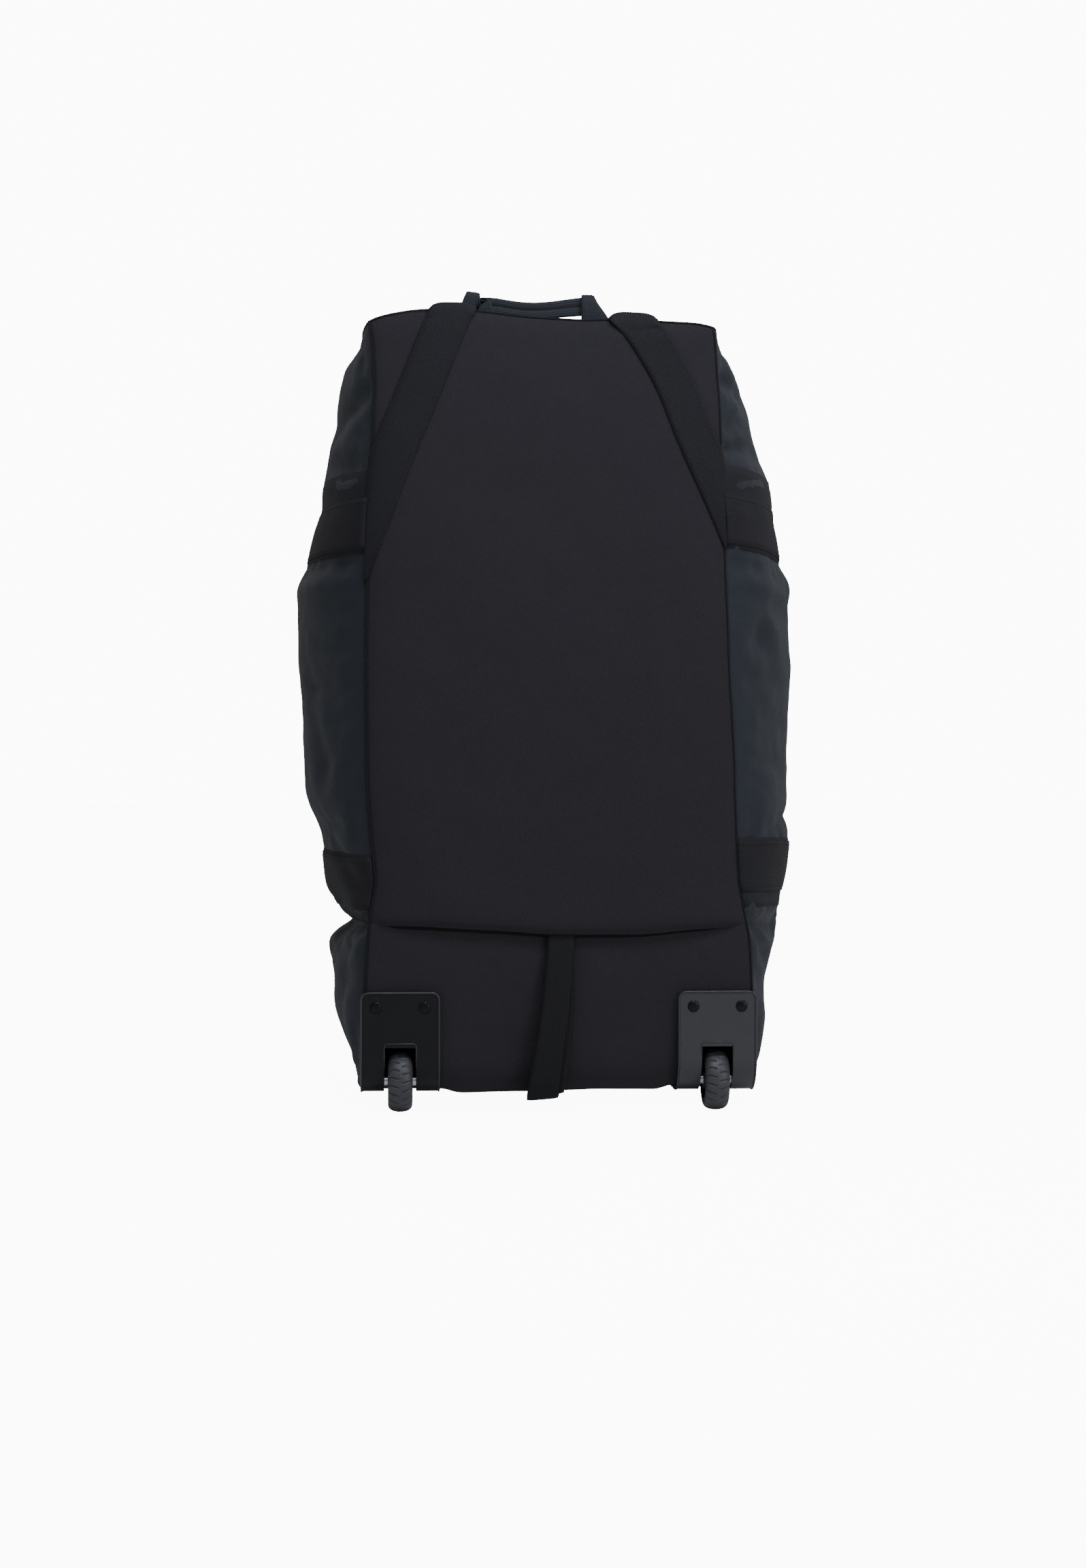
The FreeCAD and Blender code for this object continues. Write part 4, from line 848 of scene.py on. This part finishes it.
def back_strap(tree, word):
    """One strap of the V: from the top, over the top edge, down the back and into the side seam."""
    middle, half = STRAPS[word]
    line = blend_path(np.array([(x, 0, z) for x, z in middle]), 70)
    ahead = units(np.gradient(line, axis=0))
    side = np.cross(ahead, (0, 1, 0))
    side *= np.sign(side[:, :1])
    level = smooth((line[:1, 2] - line[:, 2]) / 45)[:, None]
    side = side * level + np.array([1, 0, 0]) / side[:, :1] * (1 - level)
    seam_table, sign = (LEFT_SEAM, -1) if word == "left" else (RIGHT_SEAM, 1)
    rows = []
    for point, out in zip(line, side):
        limit = abs(curve(point[2], seam_table)) + 1.5
        reach = (limit - sign * point[0]) / abs(out[0])
        if reach < 2 - half:
            break
        ends = (-half, min(half, reach)) if sign > 0 else (-min(half, reach), half)
        row = []
        for w in np.linspace(*ends, 11):
            place = point + out * w
            row.append(cast(tree, (place[0] * MM, -0.4, place[2] * MM), (0, 1, 0))[0])
        rows.append(row)
    rows = soften(np.array(rows), 2)
    over = []
    for y, rise in ((-157, 0.5), (-167, 1.5), (-176, 3.5), (-181, 6.5), (-185.5, 6.5), (-188, 2.5), (-188.8, -3)):
        under = y if y > -170 else -186
        level = [cast(tree, (x, under * MM, 0.9), (0, 0, -1))[0][2] for x in rows[0, :, 0]]
        over.append([(x, y * MM, z + rise * MM * (1 - 0.9 * abs(w) ** 4))
                     for x, z, w in zip(rows[0, :, 0], level, np.linspace(-1, 1, 11))])
    start = int(np.argmax(rows[:, 5, 2] < np.min(over[-1], axis=0)[2] - 0.007))
    full = np.concatenate([np.array(over), rows[start:]])
    full = np.stack([blend_path(full[:, j], 110) for j in range(full.shape[1])], 1)
    ahead = units(np.gradient(full, axis=0))
    wide = units(np.gradient(full, axis=1))
    normals = units(soften(np.cross(wide, ahead), 2))
    if normals[60, 5, 1] > 0:
        normals = -normals
        full, normals = full[:, ::-1], normals[:, ::-1]
    name = "back_strap_webbing_" + word
    mesh = ribbon(name, full, normals, STRAP_THICK * MM, 0.0006)
    piece(name, mesh, WEBBING, "bag", ["back_strap_" + word])
    paths = [(full[14:-6, j] + normals[14:-6, j] * (STRAP_THICK + 0.6) * MM, normals[14:-6, j]) for j in (1, 9)]
    thread_rows("back_strap_stitches_" + word, paths, "bag")


def grab_loop():
    """Webbing loop from under the fold round to the bottom, with its return layer beside it."""
    front = blend_path(np.array([(1.7, -188, 176), (1, -193, 158), (-2, -199, 125), (-7, -203.5, 84), (-13, -204.5, 46),
                                 (-16, -203, 27), (-16.8, -198, 17.5), (-16, -188, 14.6), (-13, -172, 17),
                                 (-12, -164, 21)]) * MM, 70)
    widths = np.interp(np.linspace(0, 1, 70), [0, 0.55, 0.8, 1], [13, 14, 15.5, 14]) * MM
    rows, normals = swept(front, (1, 0, 0.08), widths)
    back = blend_path(np.array([(2, -188.5, 140), (2, -191.5, 118), (0.5, -196, 92), (-3.5, -198.5, 52),
                                (-6.5, -197.5, 31), (-8, -192, 21.5), (-8, -180, 19), (-8, -166, 21.5)]) * MM, 50)
    under, under_normals = swept(back, (1, 0, 0.08), np.full(50, 12.8) * MM)
    meshes = [ribbon("loop", rows, -normals if normals[20, 4, 1] > 0 else normals, 0.0019),
              ribbon("loop", under, -under_normals if under_normals[20, 4, 1] > 0 else under_normals, 0.0019)]
    piece("grab_loop_webbing", joined("grab_loop_webbing", meshes), LOOP_WEBBING, "bag", ["grab_loop"])


def pull_handle():
    """Folded webbing handle behind the top edge: a creased bar between a rolled end and a folded end."""
    count = 50
    centre = blend_path(np.array([(-79, -149, 789.5), (-65, -150.5, 789.3), (-41, -150.5, 786.2), (-30, -150.5, 785.2),
                                  (-7, -150.5, 785.9), (12, -150, 788.2), (31, -150, 790.2)]) * MM, count)
    halves = np.interp(np.linspace(0, 1, count), [0, 0.35, 0.55, 1], [8.2, 8.0, 8.0, 9.2])
    rows, normals = swept(centre, (0, 0, 1), halves * MM, 15)
    crease = np.exp(-(np.linspace(-1, 1, 15) / 0.14) ** 2)
    rows[:, :, 1] += crease[None, :] * 0.0015
    rear = rows + np.array([0, 0.0026, 0.0003])
    face = -1 if normals[10, 5, 1] > 0 else 1
    meshes = [ribbon("bar", rows, normals * face, 0.0018), ribbon("bar", rear, normals * face, 0.0018)]
    # left riser, the roll it ends in and the fold below the roll
    riser = [[(-97, -151, 768), (-77, -151, 768)], [(-95, -152, 786), (-78.5, -152, 786)],
             [(-92, -152.5, 796), (-76, -152.5, 794)], [(-89.3, -151.8, 801.3), (-75.5, -151.8, 799.6)],
             [(-88.6, -148.5, 802.4), (-76, -148.5, 800.6)]]
    meshes.append(strip_between(np.array(riser) * MM, 24))
    turns = np.linspace(0, 1, 80)
    angle = 2 * math.pi * 2.1 * turns + 2.4
    radius = 7.2 - 4.6 * turns
    spiral = np.stack([-72.6 + radius * np.cos(angle), np.full(80, -150.5), 792.2 + radius * np.sin(angle)], 1)
    rolled, rolled_normals = swept(spiral * MM, (0, 1, 0), np.full(80, 4.5) * MM, 7)
    meshes.append(ribbon("roll", rolled, -rolled_normals, 0.0018))
    below = [[(-74.5, -155.8, 789.5), (-65.5, -155.5, 794.5)], [(-77.5, -156, 785), (-63.6, -155.8, 788)],
             [(-79, -155, 779), (-61.6, -155, 781)], [(-80, -153, 770), (-60, -153, 770)]]
    meshes.append(strip_between(np.array(below) * MM, 20))
    # right folded end
    fold = np.array([[(24.3, -152.5, 800.3), (35.3, -152, 800.3)], [(24.1, -154, 795), (37.6, -153.5, 795)],
                     [(24, -154.5, 787), (43.2, -154, 787)], [(24, -154, 780), (47.6, -153.5, 781)],
                     [(24, -153, 767.5), (54, -153, 768.5)]])
    meshes.append(strip_between(fold * MM, 24))
    behind = fold + np.array([2.0, 3.4, 0])
    meshes.append(strip_between(behind * MM, 24))
    piece("pull_handle_webbing", joined("pull_handle_webbing", meshes), HANDLE_WEBBING_PAINTED_LIGHT, "top_handle",
          ["pull_handle"])


def strip_between(sides, count, thick=0.0018):
    """A ribbon between two edge lines, given as pairs of points."""
    left, right = blend_path(sides[:, 0], count), blend_path(sides[:, 1], count)
    shares = np.linspace(0, 1, 9)[None, :, None]
    rows = left[:, None] * (1 - shares) + right[:, None] * shares
    normals = units(np.cross(np.gradient(rows, axis=1), np.gradient(rows, axis=0)))
    if normals[count // 2, 4, 1] > 0:
        normals = -normals
    return ribbon("strip", rows, normals, thick)


LUGS = 22
GROOVE = 0.0014


def tyre(side, word):
    """Tyre with a rounded tread, a centre ridge and grooves cut by turns from each edge."""
    half = [(12, 21.6), (12, 23), (11.5, 25.2), (10.2, 27), (8, 28.5), (5, 29.5), (2, 29.9)]
    profile = [(-a, r) for a, r in half] + [(0, 30)] + half[::-1]
    across = blend_path(np.array([(a, r, 0) for a, r in profile]), 41)
    count = 352
    points, faces = [], []
    for n in range(count):
        turn = 2 * math.pi * n / count
        for a, r, _ in across:
            half = 0.5 if a > 0 else 0.0
            phase = (turn / (2 * math.pi) * LUGS + half + abs(a) * 0.035) % 1.0
            cut = smooth((0.105 - abs(phase - 0.5)) / 0.045) * smooth((abs(a) - 1.2) / 0.9) * (r > 23.5)
            r -= cut * GROOVE / MM
            points.append((side * 154 + a, -173 + r * math.cos(turn), 30 + r * math.sin(turn)))
    m = len(across)
    for n in range(count):
        k = (n + 1) % count
        for j in range(m):
            q = (j + 1) % m
            faces.append((n * m + j, n * m + q, k * m + q, k * m + j))
    mesh = mesh_from("tyre", np.array(points) * MM, faces)
    piece("tyre_tread_" + word, mesh, RUBBER, "wheel_" + word, ["tyre_" + word])


PLATE = (115.5, 192.5)
PLATE_Y, PLATE_Z, PLATE_TOP = -194.4, 18.6, 118.0
SLOT = (138.5, 169.5)


def plate_edge(side, inset):
    """The outline of a housing plate on its outer face, from the bottom round the top and back down."""
    low, high = PLATE[0] + inset, PLATE[1] - inset
    arc = [(-158 - 36.4 * math.sin(t), 55 - 36.4 * math.cos(t)) for t in np.linspace(0, math.pi / 2, 12)]
    up = [(-108, PLATE_Z)] + arc + [(PLATE_Y, z) for z in (70, 90, 104)]
    corner = [(7 - 7 * math.cos(t), PLATE_TOP - inset - 7 + 7 * math.sin(t)) for t in np.linspace(0, math.pi / 2, 7)]
    path = [(low, y, z) for y, z in up] + [(low + dx, PLATE_Y, z) for dx, z in corner]
    path += [(x, PLATE_Y, PLATE_TOP - inset) for x in np.linspace(low + 12, high - 12, 6)]
    path += [(high - dx, PLATE_Y, z) for dx, z in reversed(corner)] + [(high, y, z) for y, z in reversed(up)]
    return np.array([(side * x, y, z) for x, y, z in path]) * MM


def housing_trim(side, word):
    """Raised rim of the housing plate, the lip of its slot and the rivets' dome heads."""
    meshes = [tube("rim", plate_edge(side, 0.9), 0.0011, 8)]
    slot = [(SLOT[0], PLATE_Y, z) for z in (58, 62, 66)]
    slot = [(SLOT[0], -190, 40), (SLOT[0], -193, 47)] + slot + [(SLOT[0] + 2, PLATE_Y, 68)]
    slot += [(SLOT[1] - 2, PLATE_Y, 68), (SLOT[1], PLATE_Y, 66)] + [(SLOT[1], PLATE_Y, z) for z in (62, 58)]
    slot += [(SLOT[1], -193, 47), (SLOT[1], -190, 40)]
    meshes.append(tube("lip", np.array([(side * x, y, z) for x, y, z in slot]) * MM, 0.0007, 8))
    # the rim and the slot lip carry the lighter plastic as a painted highlight
    piece("housing_rim_" + word, joined("housing_rim_" + word, meshes), RIM_HIGHLIGHT, "bag")
    heads = []
    for spread in (-23.5, 23.5):
        x = side * 154 + spread
        heads.append(dome((x, PLATE_Y, 103), (0, -1, 0)))
        heads.append(tube("shank", np.array([(x, PLATE_Y, 103), (x, -180, 103)]) * MM, 0.0024, 12))
        heads.append(dome((x, -117, PLATE_Z), (0, 0, -1)))
        heads.append(tube("shank", np.array([(x, -117, PLATE_Z), (x, -117, 31)]) * MM, 0.0024, 12))
    piece("rivet_heads_" + word, joined("rivet_heads_" + word, heads), RIVET, "bag", ["rivets_" + word])


def dome(place, out, radius=5.75, rise=1.5):
    """A pan-headed rivet head."""
    out = np.array(out, float)
    side = np.array([1.0, 0, 0])
    up = np.cross(out, side)
    points, faces = [np.array(place) + out * rise], []
    shares = (0.3, 0.55, 0.75, 0.88, 0.96, 1.0, 1.0)
    heights = [(1 - s ** 4) ** 0.5 for s in shares[:-1]] + [-0.1]
    for share, height in zip(shares, heights):
        for k in range(24):
            turn = 2 * math.pi * k / 24
            points.append(np.array(place) + (side * math.cos(turn) + up * math.sin(turn)) * radius * share
                          + out * rise * max(height, 0.0))
    for k in range(24):
        q = (k + 1) % 24
        faces.append((0, 1 + k, 1 + q))
        for ring in range(len(shares) - 1):
            a, b = 1 + ring * 24, 1 + (ring + 1) * 24
            faces.append((a + k, b + k, b + q, a + q))
    return mesh_from("dome", np.array(points) * MM, faces)


# ---- the front ----
def front_strip(tree, side, x_from, x_to, low, high, thick, lift):
    """A strip of webbing over the front between two places and two levels."""
    rows, normals = [], []
    for x in np.linspace(x_from, x_to, 40):
        row = [cast(tree, (side * min(x, 159.6) * MM, 0.4, z * MM), (0, -1, 0))[0] for z in np.linspace(low, high, 11)]
        rows.append(row)
    rows = soften(np.array(rows), 3)
    normals = np.zeros_like(rows)
    normals[..., 1] = 1
    if side > 0:
        rows = rows[:, ::-1]
    return ribbon("strip", rows, normals, thick * MM, lift * MM), rows, normals


def flap_piece(name, mesh, look, nodes=()):
    """A piece on no body, its transform worked into its mesh."""
    thing = piece(name, mesh, look, None, nodes)
    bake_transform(thing)
    return thing


def flap_webbing(tree, side, word):
    for level, band in (("upper", UPPER_BAND), ("lower", LOWER_BAND)):
        mesh, rows, normals = front_strip(tree, side, 52, 159.6, *band, 1.5, 0.5)
        name = "flap_%s_band_webbing_%s" % (level, word)
        flap_piece(name, mesh, WEBBING, ["flap_band_%s_%s" % (level, word)])
        paths = [stitches(rows[:, j] + normals[:, j] * 0.0021, normals[:, j]) for j in (1, 9)]
        flap_piece("flap_%s_stitches_%s" % (level, word), joined("rows", paths), THREAD)
    tabs = []
    for low, high in ((79, 109), (676, 706)):
        tabs.append(front_strip(tree, side, 10, 150, low, high, 1.3, 0.4)[0])
    piece("closure_tabs_" + word, joined("closure_tabs_" + word, tabs), FABRIC["patch"], "flap_" + word,
          ["flap_end_tabs_" + word])


HANDLE_Y = 192.4


def handle_run(side, start, end, half, y):
    """A straight run of handle webbing lying flat on the front."""
    path = np.array([(side * (start[0] + (end[0] - start[0]) * t), y + 0.35 * math.sin(7 * t), start[1] + (end[1] - start[1]) * t)
                     for t in np.linspace(0, 1, 24)]) * MM
    ahead = units(path[-1] - path[0])
    rows, normals = swept(path, np.cross(ahead, (0, 1, 0)), np.full(24, half) * MM, 9)
    if normals[5, 4, 1] < 0:
        normals = -normals
        rows = rows[:, ::-1]
    return ribbon("run", rows, normals, 0.0016)


def carry_handle(side, word):
    """Webbing handle folded square at its corners, sewn at both roots with boxed crosses."""
    half, outer = 19, 155
    meshes = []
    for z, inward in ((567, -1), (230, 1)):
        meshes.append(handle_run(side, (53, z), (outer - 0.5, z), half, HANDLE_Y))
    meshes.append(handle_run(side, (outer - half, 211.4), (outer - half, 585.6), half, HANDLE_Y + 1.4))
    piece("carry_handle_webbing_" + word, joined("carry_handle_webbing_" + word, meshes), WEBBING, "carry_" + word,
          ["carry_handle_" + word])
    paths = []
    for z in (567, 230):
        box = [(56, z - 15), (80, z - 15), (80, z + 15), (56, z + 15), (56, z - 15), (80, z + 15), (56, z + 15),
               (80, z - 15)]
        for a, b in zip(box, box[1:]):
            line = np.array([(side * (a[0] + (b[0] - a[0]) * t), HANDLE_Y + 2.0, a[1] + (b[1] - a[1]) * t)
                             for t in (0, 0.5, 1)]) * MM
            paths.append((line, np.tile([0, 1.0, 0], (3, 1))))
        corner = [(outer - 2 * half + 2, z - 17), (outer - 2, z + 17)]
        line = np.array([(side * x, HANDLE_Y + 3.4, z2) for x, z2 in corner]) * MM
        paths.append((line, np.tile([0, 1.0, 0], (2, 1))))
    thread_rows("carry_handle_stitches_" + word, paths, "carry_" + word)


def grip_wrap():
    """Padded sleeve round the right handle's grip, closed along one side."""
    low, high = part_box("grip_wrap")
    centre, half = (low + high) / 2, (high - low) / 2
    rings, around = 60, 64
    points, faces, uvs = [], [], []
    for i in range(rings):
        t = i / (rings - 1)
        z = low.z + (high.z - low.z) * t
        swell = 1 - 0.16 * math.exp(-(t / 0.03) ** 2) - 0.16 * math.exp(-((1 - t) / 0.03) ** 2)
        pinch = 0.03 * math.sin(t * 21) * math.sin(t * 8)
        for k in range(around):
            turn = 2 * math.pi * k / around
            c, s = math.cos(turn), math.sin(turn)
            x = centre.x + half.x * (swell + pinch) * math.copysign(abs(c) ** 0.55, c)
            y = centre.y + half.y * (swell + pinch) * math.copysign(abs(s) ** 0.7, s)
            points.append((x, y, z))
            uvs.append((turn * 0.016, z))
    for i in range(rings - 1):
        for k in range(around):
            q = (k + 1) % around
            faces.append((i * around + k, i * around + q, (i + 1) * around + q, (i + 1) * around + k))
    faces += [tuple(reversed(range(around))), tuple((rings - 1) * around + k for k in range(around))]
    sleeve = mesh_from("sleeve", points, faces, uvs)
    thing = piece("grip_sleeve", sleeve, FABRIC["patch"], "carry_right", ["grip_wrap"])
    front = high.y - 0.0002
    edge = np.array([(centre.x + 0.006, front, z) for z in np.linspace(low.z + 0.004, high.z - 0.004, 30)])
    thread_rows("grip_sleeve_stitches", [(edge, np.tile([0, 1.0, 0], (30, 1)))], "carry_right")


TEETH = 1.5


def zip_coil(side, low, high):
    """One side's row of coil turns, its tape and the tape's edge."""
    points, faces = [], []
    shape = [(0.5, -0.5), (1.0, -1.0), (3.0, -0.9), (3.4, 0), (3.0, 0.9), (1.0, 1.0), (0.5, 0.5)]
    shift = TEETH / 2 if side > 0 else 0
    for z in np.arange(low + 1 + shift, high - 1, TEETH):
        base = len(points)
        for dz, wide in ((-0.5, 0.7), (-0.25, 1.0), (0.25, 1.0), (0.5, 0.7)):
            points += [(side * (0.1 + (x - 0.1) * 0.9), 183.1 + y * wide, z + dz) for x, y in shape]
        m = len(shape)
        for a in range(3):
            for k in range(m):
                q = (k + 1) % m
                quad = (base + a * m + k, base + a * m + q, base + (a + 1) * m + q, base + (a + 1) * m + k)
                faces.append(quad if side > 0 else quad[::-1])
        ends = [tuple(base + k for k in reversed(range(m))), tuple(base + 3 * m + k for k in range(m))]
        faces += ends if side > 0 else [e[::-1] for e in ends]
    coil = mesh_from("coil", np.array(points) * MM, faces)
    path = np.array([(side * 10, 182.2, z) for z in np.linspace(low, high, 60)]) * MM
    rows, normals = swept(path, (side, 0, 0), np.full(60, 7.8) * MM, 7)
    if normals[5, 3, 1] < 0:
        rows, normals = rows[:, ::-1], -normals
    return coil, ribbon("tape", rows, normals, 0.0009, 0)


def zipper():
    for side, word in ((-1, "left"), (1, "right")):
        coil, tape = zip_coil(side, FLAP_LOW, FLAP_HIGH)
        piece("zip_tape_cloth_" + word, tape, FABRIC["tape"], "flap_" + word, ["zip_tape_" + word])
        piece("zip_coil_" + word, coil, COIL, "flap_" + word)
    for word, low, high, stop in (("upper", 688.4, 722, 711.2), ("lower", 63, 96.6, 73.8)):
        coils, tapes = zip(*[zip_coil(side, low, high) for side in (-1, 1)])
        bar = tube("stop", np.array([(0, 183.1, stop - 1.4), (0, 183.1, stop + 1.4)]) * MM, 0.0036, 12)
        piece("zip_%s_end_cloth" % word, joined("tapes", tapes), FABRIC["tape"], "bag",
              ["zip_%s_end" % word])
        piece("zip_%s_end_coil" % word, joined("coils", list(coils) + [bar]), COIL, "bag")


def edge_bindings(tree):
    """Folded cloth edges along the flaps' ends and along the zipper."""
    for side, word in ((-1, "left"), (1, "right")):
        runs = []
        for z in (FLAP_LOW + 1.2, FLAP_HIGH - 1.2):
            runs.append([(side * x, z) for x in np.linspace(9, 159.5, 40)])
        runs.append([(side * 9.2, z) for z in np.linspace(FLAP_LOW + 1.2, FLAP_HIGH - 1.2, 140)])
        tubes = [tube("edge", front_path(tree, run), 0.0011, 6) for run in runs]
        flap_piece("flap_edges_" + word, joined("edges", tubes), FABRIC["tape"])
    runs = [[(x, z) for x in np.linspace(-159.5, 159.5, 80) if abs(x) > 8.5] for z in (FLAP_LOW - 1.2, FLAP_HIGH + 1.2)]
    parts = [[p for p in run if p[0] * side > 0] for run in runs for side in (-1, 1)]
    tubes = [tube("edge", front_path(tree, part), 0.0011, 6) for part in parts]
    piece("strip_edges", joined("strip_edges", tubes), FABRIC["tape"], "bag")


def front_path(tree, places):
    found = [cast(tree, (x * MM, 0.4, z * MM), (0, -1, 0))[0] for x, z in places]
    return np.array(found)


# ---- light, floor and camera ----
SKY_LIGHT, SKY_GLOW, FLOOR_GLOW = 0.42, 11.0, 10.5


def seen_brightness(tree, output, lit, strength):
    """Adds plain brightness that only shows to the eye and lights nothing."""
    rays = tree.nodes.new("ShaderNodeLightPath")
    glow = tree.nodes.new("ShaderNodeEmission")
    glow.inputs["Strength"].default_value = strength
    both = tree.nodes.new("ShaderNodeAddShader")
    mix = tree.nodes.new("ShaderNodeMixShader")
    tree.links.new(lit, both.inputs[0])
    tree.links.new(glow.outputs[0], both.inputs[1])
    tree.links.new(rays.outputs["Is Camera Ray"], mix.inputs[0])
    tree.links.new(lit, mix.inputs[1])
    tree.links.new(both.outputs[0], mix.inputs[2])
    tree.links.new(mix.outputs[0], output.inputs["Surface"])


def make_stage():
    floor = mesh_from("floor", [(-30, -12, 0), (30, -12, 0), (30, 40, 0), (-30, 40, 0)], [(0, 1, 2, 3)])
    ground = link(floor, "floor")
    look = Shader("pale_floor", 0.9)
    look.colour((0.86, 0.86, 0.87), (0.92, 0.92, 0.92), look.noise(3, 2.0))
    seen_brightness(look.tree, look.tree.nodes["Material Output"], look.surface.outputs[0], FLOOR_GLOW)
    floor.materials.append(look.material)
    world = bpy.data.worlds.new("studio")
    bpy.context.scene.world = world
    world.use_nodes = True
    tree = world.node_tree
    sky = tree.nodes["Background"]
    sky.inputs["Color"].default_value = (1, 1, 1, 1)
    sky.inputs["Strength"].default_value = SKY_LIGHT
    seen_brightness(tree, tree.nodes["World Output"], sky.outputs[0], SKY_GLOW)


def area_light(name, place, target, size, power, colour=(1, 1, 1)):
    data = bpy.data.lights.new(name, "AREA")
    data.color = colour
    data.shape = "RECTANGLE"
    data.size, data.size_y = size
    data.energy = power
    lamp = bpy.data.objects.new(name, data)
    bpy.context.scene.collection.objects.link(lamp)
    lamp.location = place
    lamp.rotation_euler = (Vector(target) - Vector(place)).to_track_quat("-Z", "Y").to_euler()


def make_lights():
    area_light("key", (1.5, -1.9, 0.9), (0.1, -0.1, 0.3), (0.8, 1.2), 17)
    area_light("top", (0.2, -0.95, 1.65), (0, -0.15, 0.65), (1.0, 0.5), 20, (0.87, 0.95, 1.0))
    area_light("fill", (-2.4, -2.2, 1.2), (0, 0, 0.4), (1.8, 1.8), 4)


def make_camera():
    data = bpy.data.cameras.new("camera")
    data.sensor_fit = "VERTICAL"
    data.sensor_height = 24
    data.lens = 39.44
    camera = bpy.data.objects.new("camera", data)
    bpy.context.scene.collection.objects.link(camera)
    camera.location = (-0.164, -2.685, 0.319)
    camera.rotation_euler = Vector((0.0593, 0.998, 0)).to_track_quat("-Z", "Y").to_euler()
    bpy.context.scene.camera = camera


LOOKS = [
    (STEEL, ("axle_", "bearings_", "rivet_washers", "stand_foot_screws")), (HUB, ("hub_",)), (RUBBER, ("tyre_",)),
    # the left housing and the stand foot take the painted-shade copy of the plate plastic, the right housing the
    # painted-highlight copy
    (LIT_AND_SHADED_MOULDING["left"], ("wheel_housing_left", "stand_foot")), (LIT_AND_SHADED_MOULDING["right"], ("wheel_housing_right",)), (RIVET, ("rivets_",)), (LACQUER, ("zip_slider", "zip_pull_tab")),
    (COIL, ("zip_tape", "zip_upper", "zip_lower")), (BOARD, ("back_stiffener", "base_board")),
    (FABRIC["patch"], ("grip_wrap", "flap_end_tabs")),
    (WEBBING, ("grab_loop", "pull_handle", "carry_handle", "flap_band", "back_strap")),
]


def dress_cad():
    """Materials of the CAD nodes that stay."""
    for node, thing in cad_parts.items():
        for look, starts in LOOKS:
            if node.startswith(starts):
                thing.data.materials.clear()
                thing.data.materials.append(look)
                break


make_camera()
make_stage()
make_lights()
dress_cad()
skin, spots = make_skin()
surface = BVHTree.FromObject(skin, bpy.context.evaluated_depsgraph_get())
make_panels(skin)
make_seams(skin, spots)
make_bands(surface)
for strap_side in ("left", "right"):
    back_strap(surface, strap_side)
grab_loop()
pull_handle()
grip_wrap()
zipper()
edge_bindings(surface)
for hand, hand_word in ((-1, "left"), (1, "right")):
    tyre(hand, hand_word)
    housing_trim(hand, hand_word)
    flap_webbing(surface, hand, hand_word)
    carry_handle(hand, hand_word)
bpy.data.objects.remove(skin)
